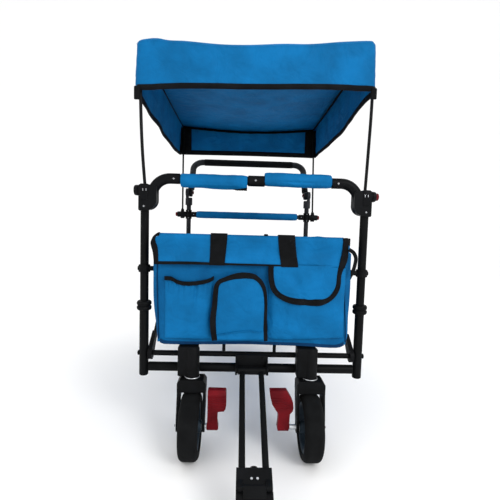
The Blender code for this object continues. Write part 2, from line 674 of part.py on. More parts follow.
def handle_elbows(shop, plastic):
    """Moulded corners of the front handle: post socket, pole socket and bend to the bar."""
    left, right, low, high = CASTING
    for sign, side in SIDES:
        casting, bend, socket = bmesh.new(), bmesh.new(), bmesh.new()
        outline = [(right - 0.002, low), (right, low + 0.002), (right, high - 0.002), (right - 0.002, high)]
        outline += [(left + 0.001, high)]
        outline += arc((left + LOBE_R, low + LOBE_R + 0.002), LOBE_R, 180, 265, 6)
        outline = [(sign * x, z) for x, z in outline]
        add_plate(casting, outline, (-CASTING_HALF_DEPTH, CASTING_HALF_DEPTH), "Y")
        points = [(sign * ELBOW_X, 0, ELBOW_FOOT), (sign * ELBOW_X, 0, BAR_Z), (sign * ELBOW_END, 0, BAR_Z)]
        add_sweep(bend, filleted(points, ELBOW_BEND, 6), ELBOW_R, (0, 1, 0), BOSS_SIDES)
        start, end = (sign * 0.250, 0, FRONT_SOCKET_Z), (sign * FRONT_SOCKET_END, 0, FRONT_SOCKET_Z)
        add_rod(socket, start, end, SOCKET_R, BOSS_SIDES)
        post_bore, bar_bore, pole_bore, button_bore = (bmesh.new() for _ in range(4))
        bottom = (sign * POST_X, 0, low - 0.01)
        add_rod(post_bore, bottom, (sign * POST_X, 0, FRONT_POST_TOP + GAP), UPPER_POST_R + GAP)
        bar_end = sign * (BAR_END + GAP)
        add_rod(bar_bore, (sign * 0.170, 0, BAR_Z), (bar_end, 0, BAR_Z), UPPER_POST_R + GAP)
        foot_x, foot_z = FRONT_POLE_FOOT
        hole_x = sign * (foot_x + 0.0009)
        add_rod(pole_bore, (hole_x, 0, foot_z - 0.0015), (hole_x, 0, BAR_Z + 0.005), POLE_BORE_R, 10)
        button_end = (sign * (FRONT_SOCKET_END + 0.01), 0, FRONT_SOCKET_Z)
        button_start = (sign * (FRONT_SOCKET_END - BUTTON_SEAT), 0, FRONT_SOCKET_Z)
        add_rod(button_bore, button_start, button_end, BUTTON_BORE_R)
        shop.solid(
            f"handle_elbow_{side}", casting, plastic,
            joins=[bend, socket], cuts=[post_bore, bar_bore, pole_bore, button_bore],
        )


def handle_bar(shop, paint, cloth):
    """Cross tube of the front handle with its middle connector, and the two sleeves on it."""
    bar = bmesh.new()
    end, bore = BAR_END, UPPER_POST_R - WALL
    profile = [(bore, -end), (UPPER_POST_R, -end), (UPPER_POST_R, -0.0195), (0.0130, -0.0190), (0.0137, -0.0170)]
    profile += [(radius, -along) for radius, along in reversed(profile)]
    add_turned(bar, profile, (0, 0, BAR_Z), (1, 0, 0), looped=True)
    shop.solid("handle_bar", bar, paint)
    for sign, side in SIDES:
        grip = bmesh.new()
        start, end = GRIP_SPAN
        profile = [(UPPER_POST_R + GAP, 0), (GRIP_R - 0.002, 0), (GRIP_R, 0.003)]
        length = end - start
        profile += [(GRIP_R, length - 0.003), (GRIP_R - 0.002, length), (UPPER_POST_R + GAP, length)]
        add_turned(grip, profile, (sign * start, 0, BAR_Z), (sign, 0, 0), BOSS_SIDES, looped=True)
        shop.solid(f"handle_grip_{side}", grip, cloth)


def rear_bar(shop, plastic, cloth):
    """Upper rear bar with a clamp on each post, the rear pole sockets and the padded sleeve."""
    bar = bmesh.new()
    add_rod(bar, (-REAR_BAR_HALF, DEPTH, REAR_SOCKET_Z), (REAR_BAR_HALF, DEPTH, REAR_SOCKET_Z), REAR_BAR_R)
    clamps, sockets, cups, posts, poles, buttons = (bmesh.new() for _ in range(6))
    edge = 0.001
    ring = [(0, -CLAMP_HALF), (CLAMP_R - edge, -CLAMP_HALF), (CLAMP_R, 3 * edge - CLAMP_HALF)]
    ring += [(radius, -along) for radius, along in reversed(ring)]
    for sign, _ in SIDES:
        post_x, pole_x, socket_x = sign * POST_X, sign * REAR_POLE_X, sign * REAR_SOCKET_END
        add_turned(clamps, ring, (post_x, DEPTH, REAR_SOCKET_Z), (0, 0, 1), TUBE_SIDES, offset=0.37)
        start = (sign * (BAR_SLEEVE_HALF + 0.003), DEPTH, REAR_SOCKET_Z)
        add_rod(sockets, start, (socket_x, DEPTH, REAR_SOCKET_Z), REAR_SOCKET_R)
        add_rod(cups, (pole_x, DEPTH, CUP_Z[0]), (pole_x, DEPTH, CUP_Z[1]), CUP_R, PIN_SIDES, 0.29)
        foot = (pole_x, DEPTH, REAR_POLE_FOOT - 0.0015)
        add_rod(poles, foot, (pole_x, DEPTH, CUP_Z[1] + 0.018), POLE_R + 0.00075, PIN_SIDES, 0.29)
        below, above = (post_x, DEPTH, 0.54), (post_x, DEPTH, 0.62)
        add_rod(posts, below, above, UPPER_POST_R + 2 * GAP)
        seat = (sign * (REAR_SOCKET_END - BUTTON_SEAT), DEPTH, REAR_SOCKET_Z)
        add_rod(buttons, seat, (sign * (REAR_SOCKET_END + 0.01), DEPTH, REAR_SOCKET_Z), BUTTON_BORE_R)
    shop.solid("rear_bar", bar, plastic, joins=[sockets, clamps, cups], cuts=[poles, buttons, posts])
    sleeve = bmesh.new()
    profile = [(REAR_BAR_R + GAP, -BAR_SLEEVE_HALF), (BAR_SLEEVE_R - 0.0015, -BAR_SLEEVE_HALF)]
    profile += [(BAR_SLEEVE_R, 0.003 - BAR_SLEEVE_HALF)]
    profile += [(radius, -along) for radius, along in reversed(profile)]
    add_turned(sleeve, profile, (0, DEPTH, REAR_SOCKET_Z), (1, 0, 0), looped=True)
    shop.solid("rear_bar_sleeve", sleeve, cloth)


def pole_buttons(shop, red):
    """Push buttons that lock the four canopy poles."""
    rows = (("front", 0.0, FRONT_SOCKET_END, FRONT_SOCKET_Z), ("rear", DEPTH, REAR_SOCKET_END, REAR_SOCKET_Z))
    for end, y, socket_end, z in rows:
        for sign, side in SIDES:
            button = bmesh.new()
            tip = socket_end + BUTTON_PROUD
            profile = [(0, 0), (BUTTON_R - 0.002, 0), (BUTTON_R, 0.002), (BUTTON_R, BUTTON_LENGTH), (0, BUTTON_LENGTH)]
            add_turned(button, profile, (sign * tip, y, z), (-sign, 0, 0))
            shop.solid(f"{end}_pole_button_{side}", button, red, (sign * tip, y, z))


def poles(shop, paint):
    """Four thin rods that carry the canopy. The front pair leans outwards."""
    foot_x, foot_z = FRONT_POLE_FOOT
    for sign, side in SIDES:
        front, rear = bmesh.new(), bmesh.new()
        add_rod(front, (sign * foot_x, 0, foot_z), (sign * FRONT_POLE_TOP_X, 0, POLE_TOP), POLE_R, 10)
        shop.solid(f"front_pole_{side}", front, paint, (sign * foot_x, 0, foot_z))
        foot = (sign * REAR_POLE_X, DEPTH, REAR_POLE_FOOT)
        add_rod(rear, foot, (sign * REAR_POLE_X, DEPTH, POLE_TOP), POLE_R, 10)
        shop.solid(f"rear_pole_{side}", rear, paint, foot)


def canopy_roof_z(across, along):
    """Height of the roof where across runs from -1 to 1 and along from 0 (front) to 1 (rear)."""
    hang = 1 - across * across
    middle = math.sin(math.pi * along)
    return CANOPY_TOP - hang * (CANOPY_SAG + CANOPY_MIDDLE_SAG * middle) - 0.004 * middle


def front_valance_z(across):
    """Lower edge of the front flap, with a tip at each corner."""
    tip = max(0.0, (abs(across) - 0.955) / 0.045)
    return FRONT_VALANCE_Z + (CORNER_TIP_Z - FRONT_VALANCE_Z) * tip


def side_valance_z(along):
    """Lower edge of a side flap."""
    return CORNER_TIP_Z + (REAR_VALANCE_Z - CORNER_TIP_Z) * along


def canopy(shop, cloth):
    """Fabric roof with flaps all round, open below."""
    bm = bmesh.new()
    columns, rows, drops = 14, 10, 2

    def half_width(along):
        return CANOPY_FRONT_HALF + (CANOPY_REAR_HALF - CANOPY_FRONT_HALF) * along

    def place(across, along, z):
        y = CANOPY_FRONT_Y + (CANOPY_REAR_Y - CANOPY_FRONT_Y) * along
        return bm.verts.new((across * half_width(along), y, z))

    stations = [math.sin(math.pi * (i / columns - 0.5)) for i in range(columns + 1)]
    roof = [[place(a, j / rows, canopy_roof_z(a, j / rows)) for a in stations] for j in range(rows + 1)]
    for lower, upper in zip(roof, roof[1:]):
        for i in range(columns):
            bm.faces.new((lower[i], lower[i + 1], upper[i + 1], upper[i]))
    loop = [(i, 0) for i in range(columns)] + [(columns, j) for j in range(rows)]
    loop += [(i, rows) for i in range(columns, 0, -1)] + [(0, j) for j in range(rows, 0, -1)]

    def hem(i, j):
        if i in (0, columns):
            return side_valance_z(j / rows)
        return front_valance_z(stations[i]) if j == 0 else REAR_VALANCE_Z

    levels = [[roof[j][i] for i, j in loop]]
    for step in range(1, drops + 1):
        level = []
        for i, j in loop:
            top = roof[j][i].co
            z = top.z + (hem(i, j) - top.z) * step / drops
            level.append(bm.verts.new((top.x, top.y, z)))
        levels.append(level)
    add_rings(bm, levels, looped=False)
    made = shop.solid("canopy", bm, cloth)
    shell = made.modifiers.new("cloth_thickness", "SOLIDIFY")
    shell.thickness = CLOTH
    shell.offset = -1
    shell.use_even_offset = True


def push_handle(shop, looks):
    """Bent rear handle that tilts on two ratchet hinges, and the locks in their middles."""
    hinge_y, hinge_z = PUSH_HINGE
    along = Vector((0, math.sin(PUSH_LEAN), math.cos(PUSH_LEAN)))
    square = Vector((0, math.cos(PUSH_LEAN), -math.sin(PUSH_LEAN)))
    hinge = Vector((0, hinge_y, hinge_z))
    across = Vector((PUSH_X, 0, 0))
    start, top = hinge + along * 0.016, hinge + along * PUSH_LENGTH
    bend, discs, bores = bmesh.new(), bmesh.new(), bmesh.new()
    path = filleted([start - across, top - across, top + across, start + across], PUSH_CORNER, 6)
    add_sweep(bend, path, PUSH_R, square)
    for sign, _ in SIDES:
        profile = [(0, 0), (HINGE_R, 0), (HINGE_R, 0.013), (HINGE_R - 0.002, 0.015), (0, 0.015)]
        add_turned(discs, profile, (sign * HINGE_INNER[1], hinge_y, hinge_z), (-sign, 0, 0), BOSS_SIDES)
        add_rod(bores, (sign * 0.27, hinge_y, hinge_z), (sign * 0.2555, hinge_y, hinge_z), AXLE_HOLE_R, PIN_SIDES)
        inner, seat = (sign * 0.24, hinge_y, hinge_z), (sign * 0.2533, hinge_y, hinge_z)
        add_rod(bores, inner, seat, LOCK_R + 0.0004, BOSS_SIDES)
    clear = bmesh.new()
    for sign, _ in SIDES:
        add_rod(clear, (sign * 0.2637, hinge_y, hinge_z), (sign * 0.29, hinge_y, hinge_z), HINGE_R + 0.0025, 20)
    shop.solid("push_handle", bend, looks["paint"], hinge, joins=[discs], cuts=[bores, clear])
    for sign, side in SIDES:
        lock = bmesh.new()
        profile = [(0, 0), (LOCK_R - 0.0015, 0), (LOCK_R, 0.0015), (LOCK_R, 0.0070), (0, 0.0070)]
        add_turned(lock, profile, (sign * 0.2430, hinge_y, hinge_z), (sign, 0, 0))
        shop.solid(f"push_lock_{side}", lock, looks["red"], (sign * 0.2430, hinge_y, hinge_z))


def pull_point(x, along, lift_by=0.0):
    """A point on the pull handle: distance from its pivot and height above its centreline."""
    y, z = PULL_PIVOT
    y -= along * math.cos(PULL_SLOPE) + lift_by * math.sin(PULL_SLOPE)
    z -= along * math.sin(PULL_SLOPE) - lift_by * math.cos(PULL_SLOPE)
    return x, y, z


def knuckle(bm, along, half, depth):
    """A clamp block across both tubes, with its long edges cut at 45 degrees."""
    cut = 0.003
    corners = [(along[0], depth - cut), (along[0], cut - depth), (along[0] + cut, -depth)]
    corners += [(along[1] - cut, -depth), (along[1], cut - depth), (along[1], depth - cut)]
    corners += [(along[1] - cut, depth), (along[0] + cut, depth)]
    outline = [pull_point(0, distance, rise)[1:] for distance, rise in corners]
    add_plate(bm, outline, (-half, half), "X")


def pull_handle(shop, looks):
    """Twin-tube pull handle: bracket, upper arm, folding lower arm and cross grip."""
    y, z = PULL_PIVOT
    bracket, ears, pin, saddle = (bmesh.new() for _ in range(4))
    add_slab(bracket, (-0.0395, 0.0395), (-0.0200, -0.0075), (0.1900, 0.2345), 0.0015, 1)
    for sign in (-1, 1):
        outline = arc((y, z), 0.0105, 90, 270, 10) + [(-0.015, 0.193), (-0.015, 0.232)]
        add_plate(ears, outline, span(sign, 0.0347, 0.0393), "X")
    add_rod(pin, (-0.0385, y, z), (0.0385, y, z), PIN_R, PIN_SIDES)
    add_rod(saddle, (-0.05, 0, CROSSBAR_Z), (0.05, 0, CROSSBAR_Z), POST_R + GAP)
    shop.solid("pull_bracket", bracket, looks["plastic"], joins=[ears, pin], cuts=[saddle])

    barrel, tubes, clamp, bore = (bmesh.new() for _ in range(4))
    add_rod(barrel, (-0.0340, y, z), (0.0340, y, z), 0.0090)
    for sign in (-1, 1):
        x = sign * PULL_TUBE_X
        add_rod(tubes, pull_point(x, 0.004), pull_point(x, UPPER_KNUCKLE[0] + 0.030), PULL_TUBE_R, 12)
    knuckle(clamp, UPPER_KNUCKLE, KNUCKLE_HALF, KNUCKLE_DEPTH)
    add_rod(bore, (-0.05, y, z), (0.05, y, z), PIN_HOLE_R, PIN_SIDES)
    hinge = pull_point(0, PULL_HINGE_AT, PULL_HINGE_LIFT)
    upper_ears = bmesh.new()
    for sign in (-1, 1):
        add_hinge_ear(upper_ears, hinge, span(sign, *UPPER_EARS), UPPER_KNUCKLE[1] - 0.016)
    hinge_pin = bmesh.new()
    add_rod(hinge_pin, (-0.028, *hinge[1:]), (0.028, *hinge[1:]), PIN_R, PIN_SIDES)
    relief = bmesh.new()
    reach = LOWER_EAR_HALF + GAP
    profile = [(PIN_HOLE_R, -reach), (EAR_RELIEF_R, -reach), (EAR_RELIEF_R, reach), (PIN_HOLE_R, reach)]
    add_turned(relief, profile, hinge, (1, 0, 0), BOSS_SIDES, looped=True)
    joins = [tubes, clamp, upper_ears, hinge_pin]
    shop.solid("pull_arm_upper", barrel, looks["paint"], (0, y, z), joins=joins, cuts=[bore, relief])

    clamp, lower_ear, tubes, bore = (bmesh.new() for _ in range(4))
    knuckle(clamp, LOWER_KNUCKLE, KNUCKLE_HALF, KNUCKLE_DEPTH)
    add_hinge_ear(lower_ear, hinge, (-LOWER_EAR_HALF, LOWER_EAR_HALF), LOWER_KNUCKLE[0] + 0.016)
    relief = bmesh.new()
    for sign in (-1, 1):
        x = sign * PULL_TUBE_X
        add_rod(tubes, pull_point(x, LOWER_KNUCKLE[1] - 0.012), pull_point(x, PULL_GRIP_AT - 0.004), PULL_TUBE_R, 12)
        inner, outer = sign * (LOWER_EAR_HALF + GAP), sign * (UPPER_EARS[1] + GAP)
        add_rod(relief, (inner, *hinge[1:]), (outer, *hinge[1:]), EAR_RELIEF_R, BOSS_SIDES)
    add_rod(bore, (-0.03, *hinge[1:]), (0.03, *hinge[1:]), PIN_HOLE_R, PIN_SIDES)
    sockets = bmesh.new()
    grip_y, grip_z = pull_point(0, PULL_GRIP_AT)[1:]
    shop.solid("pull_arm_lower", clamp, looks["paint"], hinge, joins=[tubes, lower_ear], cuts=[bore, relief])

    grip = bmesh.new()
    profile = [(0, 0), (PULL_GRIP_R - 0.003, 0), (PULL_GRIP_R, 0.003)]
    length = 2 * PULL_GRIP_HALF
    profile += [(PULL_GRIP_R, length - 0.003), (PULL_GRIP_R - 0.003, length), (0, length)]
    add_turned(grip, profile, (-PULL_GRIP_HALF, grip_y, grip_z), (1, 0, 0), BOSS_SIDES)
    for sign in (-1, 1):
        x = sign * PULL_TUBE_X
        add_rod(sockets, pull_point(x, PULL_GRIP_AT - 0.030), pull_point(x, PULL_GRIP_AT - 0.0037), PULL_TUBE_R + GAP, 12)
    shop.solid("pull_grip", grip, looks["plastic"], cuts=[sockets])


def add_hinge_ear(bm, hinge, levels, root_at):
    """A rounded lug from a knuckle's top up round the fold hinge."""
    toward = 1 if root_at < PULL_HINGE_AT else -1
    slope = math.degrees(PULL_SLOPE)
    outline = arc(hinge[1:], EAR_R, 90 + slope, 90 + slope + toward * 110, 6)
    outline += [
        pull_point(0, PULL_HINGE_AT - toward * 0.0015, KNUCKLE_DEPTH - 0.004)[1:],
        pull_point(0, root_at, KNUCKLE_DEPTH - 0.004)[1:],
        pull_point(0, root_at, KNUCKLE_DEPTH + 0.001)[1:],
    ]
    add_plate(bm, outline, levels, "X")


def basket(shop, cloth):
    """Fabric tub between the frames: end panels, and the channel of floor and side walls."""
    front, rear = bmesh.new(), bmesh.new()
    add_slab(front, (-PANEL_HALF, PANEL_HALF), FRONT_PANEL, (FLOOR_BOTTOM, FRONT_PANEL_TOP), 0.0008, 1)
    add_slab(rear, (-PANEL_HALF, PANEL_HALF), REAR_PANEL, (FLOOR_BOTTOM, REAR_PANEL_TOP), 0.0008, 1)
    shop.solid("basket_front", front, cloth)
    shop.solid("basket_rear", rear, cloth)
    tub = bmesh.new()
    start, end = FRONT_PANEL[1] + GAP, REAR_PANEL[0] - GAP
    steps = 8
    rings = []
    for i in range(steps + 1):
        along = i / steps
        y = start + (end - start) * along
        rim = FRONT_PANEL_TOP - 0.003 + (REAR_PANEL_TOP - FRONT_PANEL_TOP) * along
        rim -= 0.012 * math.sin(math.pi * along)
        half, inner = BASKET_HALF, BASKET_HALF - BASKET_WALL
        section = [(-half, FLOOR_BOTTOM), (half, FLOOR_BOTTOM), (half, rim), (inner, rim)]
        section += [(inner, FLOOR_TOP), (-inner, FLOOR_TOP), (-inner, rim), (-half, rim)]
        rings.append([tub.verts.new((x, y, z)) for x, z in section])
    add_rings(tub, rings, looped=False)
    tub.faces.new(rings[0])
    tub.faces.new(rings[-1])
    shop.solid("basket_tub", tub, cloth)


def organiser(shop, cloth):
    """Bag hung on the front panel, with its three pockets and top flap."""
    back, pockets, flap = bmesh.new(), bmesh.new(), bmesh.new()
    add_slab(back, (-BAG_HALF, BAG_HALF), BAG_Y, BAG_Z, 0.004, 1)
    front = BAG_Y[0]
    add_slab(pockets, (-0.2150, -0.1040), (front - 0.010, front + 0.004), (0.2740, 0.4180), 0.004, 1)
    add_slab(pockets, (-0.0920, 0.0170), (front - 0.024, front + 0.004), (0.2700, 0.4330), 0.006, 1)
    add_slab(pockets, (0.0300, 0.2150), (front - 0.012, front + 0.004), (0.2720, 0.4500), 0.005, 1)
    add_slab(flap, (-0.2240, 0.2240), (front - 0.006, front + 0.006), (0.4560, 0.5235), 0.003, 1)
    shop.solid("organiser", back, cloth, joins=[pockets, flap])


def build():
    clear_scene()
    looks = {
        "paint": material("black_paint", (0.012, 0.013, 0.014), 0.38),
        "plastic": material("black_plastic", (0.016, 0.017, 0.019), 0.48),
        "rubber": material("tyre_rubber", (0.018, 0.019, 0.021), 0.75),
        "rim": material("grey_rim", (0.055, 0.065, 0.075), 0.45),
        "red": material("red_plastic", (0.210, 0.014, 0.020), 0.45),
        "cloth": material("blue_fabric", (0.012, 0.180, 0.470), 0.80),
    }
    shop = Workshop()
    front_posts(shop, looks["paint"])
    rear_posts(shop, looks["paint"])
    crossbars(shop, looks["paint"])
    outer_arms(shop, looks["paint"])
    inner_arms(shop, looks["paint"])
    collars(shop, looks["plastic"])
    casters(shop, looks)
    rear_wheels(shop, looks)
    handle_elbows(shop, looks["plastic"])
    handle_bar(shop, looks["paint"], looks["cloth"])
    rear_bar(shop, looks["plastic"], looks["cloth"])
    pole_buttons(shop, looks["red"])
    poles(shop, looks["paint"])
    canopy(shop, looks["cloth"])
    push_handle(shop, looks)
    pull_handle(shop, looks)
    basket(shop, looks["cloth"])
    organiser(shop, looks["cloth"])


build()
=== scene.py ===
"""Looks of the folding wagon: finishes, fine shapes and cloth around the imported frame.

Metres, +Z up. X runs across the wagon. Shapes are drawn with Y = 0 at the plane of the front
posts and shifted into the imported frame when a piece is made.
"""
import math

import bmesh
import bpy
from mathutils import Matrix, Vector, noise


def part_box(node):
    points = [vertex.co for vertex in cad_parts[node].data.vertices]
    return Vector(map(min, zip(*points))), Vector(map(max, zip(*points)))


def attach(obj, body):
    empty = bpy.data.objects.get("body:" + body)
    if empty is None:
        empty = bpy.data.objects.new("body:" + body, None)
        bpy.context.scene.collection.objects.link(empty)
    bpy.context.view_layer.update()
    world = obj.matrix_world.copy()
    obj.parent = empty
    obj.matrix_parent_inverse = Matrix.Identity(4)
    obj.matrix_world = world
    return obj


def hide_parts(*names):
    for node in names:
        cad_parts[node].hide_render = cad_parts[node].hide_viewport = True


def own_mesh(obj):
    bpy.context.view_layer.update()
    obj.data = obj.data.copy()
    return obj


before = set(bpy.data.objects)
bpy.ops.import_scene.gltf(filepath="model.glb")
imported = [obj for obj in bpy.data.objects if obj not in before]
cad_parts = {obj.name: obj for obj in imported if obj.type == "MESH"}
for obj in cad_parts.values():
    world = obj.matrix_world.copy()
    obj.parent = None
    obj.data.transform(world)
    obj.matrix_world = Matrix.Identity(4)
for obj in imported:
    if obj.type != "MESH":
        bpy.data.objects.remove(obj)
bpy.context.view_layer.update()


def middle_of(node):
    """Centre of a CAD node's box."""
    low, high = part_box(node)
    return (low + high) / 2


SIDES = ((-1, "left"), (1, "right"))
FRONT_Y = middle_of("front_crossbar").y
DEPTH = middle_of("rear_crossbar").y - FRONT_Y

# Tubes and their couplings
POST_X = 0.264
POST_R = 0.011
UPPER_POST_R = 0.010
POST_BOTTOM = 0.1785
FRONT_POST_TOP = 0.598
REAR_POST_TOP = 0.652
COUPLING_Z = 0.3495
CROSSBAR_Z = 0.1975
CROSSBAR_HALF = 0.2520
LOW_PIN_Z = 0.2315
COLLAR_Z = 0.4395
RIVET_X = 0.2495

# Front handle
BAR_Z = 0.655
ELBOW_X = 0.2465
ELBOW_R = 0.0125
ELBOW_BEND = 0.042
ELBOW_END = 0.1815
CASTING = (0.2340, 0.2760, 0.577, 0.6385)
CASTING_HALF_DEPTH = 0.0155
LOBE_R = 0.024
FRONT_SOCKET_Z = 0.6255
FRONT_SOCKET_END = 0.2885
SOCKET_R = 0.0126
GRIP_SPAN = (0.0215, 0.1795)

# Rear bar and push handle
REAR_SOCKET_Z = 0.578
REAR_SOCKET_END = 0.3145
PUSH_HINGE = (0.830, 0.675)
PUSH_LEAN = math.radians(34)
PUSH_LENGTH = 0.1785
PUSH_X = 0.256
PUSH_R = 0.0138
HINGE_R = 0.0185

# Wheels
WHEEL_R = 0.0762
RIM_R = 0.057
FRONT_STEM = (0.141, -0.034)
FRONT_AXLE_Y = -0.055
REAR_WHEEL_X = 0.205
REAR_AXLE_Y = 0.865

# Canopy
CANOPY_HALF = 0.285
POLE_R = 0.00375
POLE_TOP = 0.959
FRONT_POLE_FOOT = (0.2616, 0.608)
REAR_POLE_X = 0.2915
REAR_POLE_FOOT = 0.5655
CANOPY_Y = (-0.008, DEPTH + 0.008)
CANOPY_CORNERS = [
    (-CANOPY_HALF, CANOPY_Y[0]), (0.2712, CANOPY_Y[0]), (0.291, CANOPY_Y[1]), (-0.302, CANOPY_Y[1]),
]
ROOF_FRONT = (
    (-0.2817, 0.9690), (-0.2411, 0.9752), (-0.2116, 0.9718), (-0.1752, 0.9719), (-0.0816, 0.9668),
    (0.0563, 0.9739), (0.1141, 0.9757), (0.1950, 0.9847), (0.2625, 0.9885), (0.2700, 0.9855),
)
ROOF_REAR = ((-0.300, 0.969), (0.0, 0.954), (0.300, 0.973))
HEMS = (
    (
        (-0.2709, 0.8538), (-0.2104, 0.8583), (-0.1737, 0.8603), (-0.0099, 0.8645),
        (0.1649, 0.8709), (0.2615, 0.8694),
    ),
    (
        (0.0, 0.868), (0.06, 0.8696), (0.153, 0.867), (0.234, 0.8585), (0.319, 0.8492),
        (0.43, 0.8468), (0.833, 0.8452),
    ),
    ((-0.300, 0.8425), (0.0, 0.8455), (0.300, 0.8452)),
    (
        (0.0, 0.850), (0.07, 0.847), (0.157, 0.841), (0.286, 0.842), (0.433, 0.834),
        (0.621, 0.829), (0.833, 0.840),
    ),
)
CANOPY_FLARE = 0.004
EAVE_R = 0.011

# Pull handle
PULL_PIVOT = (-0.036, 0.2035)
PULL_SLOPE = math.radians(26.5)
PULL_TUBE_X = 0.0225
PULL_TUBE_R = 0.0065
PULL_HINGE_AT = 0.27925
PULL_HINGE_LIFT = 0.0145
UPPER_KNUCKLE = (0.238, 0.278)
LOWER_KNUCKLE = (0.2805, 0.320)
PULL_GRIP_AT = 0.4275

# Bag and basket
BAG_HALF = 0.2285
BAG_BOTTOM = 0.2645
BAG_TOP = 0.5255
BAG_FACE_Y = -0.034
BAG_LEFT = (
    (0.2610, -0.2190), (0.2710, -0.2265), (0.3100, -0.2305), (0.3380, -0.2345), (0.3760, -0.2376),
    (0.4516, -0.2382),
)
BAG_RIGHT = (
    (0.2610, 0.2190), (0.2740, 0.2294), (0.3380, 0.2302), (0.3670, 0.2316), (0.4150, 0.2322),
    (0.4440, 0.2308),
)
BAG_HEM = (
    (-0.2256, 0.2724), (-0.2191, 0.2687), (-0.2087, 0.2650), (-0.1223, 0.2657), (0.0062, 0.2680),
    (0.1278, 0.2655), (0.1855, 0.2626), (0.2123, 0.2650), (0.2282, 0.2751),
)
MOUTH_Z = 0.4560
FLAP_HEM_Z = 0.4580
ROLL_FROM_Z = 0.5180
ROLL_CENTRE_Z = 0.5175
ROLL_R = 0.0100
FLAP_LEFT_OUTER = (
    (0.4566, -0.2315), (0.4842, -0.2373), (0.5025, -0.2419), (0.5117, -0.2393), (0.5210, -0.2339),
    (0.5277, -0.2249),
)
FLAP_LEFT_INNER = (
    (0.4643, -0.2216), (0.4809, -0.2235), (0.4974, -0.2264), (0.5138, -0.2302), (0.5269, -0.2212),
)
FLAP_RIGHT_INNER = ((0.4568, 0.1942), (0.4830, 0.2005), (0.5108, 0.2038), (0.5237, 0.2032))

# Pockets, as (x, z) and, for bands, their width
POCKET_LEFT_X = -0.2085
POCKET_RIGHT_X = (0.0345, 0.2150)
ELASTIC = (
    (-0.2085, 0.4226), (-0.1917, 0.4213), (-0.1825, 0.4156), (-0.1696, 0.4116), (-0.1513, 0.4108),
    (-0.1329, 0.4125), (-0.1146, 0.4161), (-0.1019, 0.4206), (-0.0928, 0.4264),
)
POCKET_LEFT_END = (
    (0.2795, -0.0956), (0.3065, -0.0998), (0.3349, -0.1013), (0.3633, -0.0963), (0.4102, -0.0944),
)
ARCH = [
    (-0.0890, 0.2815, 0.0130), (-0.0925, 0.3060, 0.0140), (-0.0935, 0.3340, 0.0140),
    (-0.0905, 0.3640, 0.0125), (-0.0885, 0.3950, 0.0120), (-0.0866, 0.4100, 0.0112),
    (-0.0800, 0.4194, 0.0102), (-0.0684, 0.4247, 0.0103), (-0.0504, 0.4311, 0.0125),
    (-0.0341, 0.4342, 0.0145), (-0.0217, 0.4352, 0.0140), (-0.0018, 0.4330, 0.0125),
    (0.0067, 0.4280, 0.0108), (0.0133, 0.4221, 0.0105), (0.0205, 0.4105, 0.0095),
    (0.0253, 0.3940, 0.0082), (0.0277, 0.3687, 0.0076), (0.0276, 0.3313, 0.0080),
    (0.0285, 0.3080, 0.0095), (0.0300, 0.2830, 0.0090),
]
RIGHT_BAND = [
    (0.2097, 0.5262, 0.0126), (0.2108, 0.5110, 0.0140), (0.2112, 0.4900, 0.0155),
    (0.2081, 0.4745, 0.0170), (0.2006, 0.4552, 0.0132), (0.1970, 0.4382, 0.0110),
    (0.1957, 0.4148, 0.0118), (0.1904, 0.3998, 0.0128), (0.1800, 0.3862, 0.0122),
    (0.1665, 0.3778, 0.0130), (0.1498, 0.3742, 0.0158), (0.1212, 0.3745, 0.0150),
    (0.0959, 0.3763, 0.0152), (0.0733, 0.3820, 0.0140), (0.0558, 0.3918, 0.0132),
    (0.0450, 0.4058, 0.0133), (0.0394, 0.4270, 0.0130), (0.0378, 0.4494, 0.0128),
    (0.0378, 0.4585, 0.0128),
]
POCKET_RIGHT_HEM = (
    (0.0345, 0.2901), (0.0425, 0.2826), (0.1066, 0.2818), (0.1632, 0.2848), (0.2150, 0.2880),
)
WEBBING_LOOP = [
    (0.2180, 0.5000), (0.2290, 0.4930), (0.2350, 0.4800), (0.2330, 0.4620), (0.2280, 0.4420),
]
BASKET_HALF = 0.2285
FLOOR_Z = 0.2715
PANEL_HALF = 0.2295
PANEL_BOTTOM = 0.2630
FRONT_PANEL_TOP = 0.5205
REAR_PANEL_TOP = 0.484


# Finishes


def linear(code):
    """An sRGB hex colour as the linear values that shaders take."""
    channels = [int(code[i:i + 2], 16) / 255 for i in (0, 2, 4)]
    return (*(c / 12.92 if c <= 0.04045 else ((c + 0.055) / 1.055) ** 2.4 for c in channels), 1.0)


def connect(tree, made, inputs):
    """Set a node's inputs to values, or link them to the outputs of other nodes."""
    for socket, value in inputs.items():
        if isinstance(value, bpy.types.NodeSocket):
            tree.links.new(value, made.inputs[socket])
        else:
            made.inputs[socket].default_value = value


def node(tree, kind, inputs=None, **settings):
    """One shader or geometry node with its settings, values and links."""
    made = tree.nodes.new(kind)
    for key, value in settings.items():
        setattr(made, key, value)
    connect(tree, made, inputs or {})
    return made


def wave_scale(pitch):
    """Scale that makes a wave texture repeat every so many metres."""
    return 2 * math.pi / 20 / pitch


def new_finish(name, slot):
    """A material with its shader, its object coordinates and the record's slot it belongs to."""
    made = bpy.data.materials.new(name)
    made.use_nodes = True
    made["slot"] = slot
    tree = made.node_tree
    shader = tree.nodes["Principled BSDF"]
    place = node(tree, "ShaderNodeTexCoord").outputs["Object"]
    return made, tree, shader, place


def mottled(tree, place, light, deep, scale, low=0.35, high=0.65):
    """A colour that drifts between two shades over the surface."""
    drift = node(tree, "ShaderNodeTexNoise", {"Vector": place, "Scale": scale, "Detail": 4.0})
    spread = node(
        tree, "ShaderNodeMapRange",
        {"Value": drift.outputs["Fac"], "From Min": low, "From Max": high},
    )
    mix = node(
        tree, "ShaderNodeMix",
        {0: spread.outputs["Result"], 6: linear(deep), 7: linear(light)}, data_type="RGBA",
    )
    return mix.outputs[2]


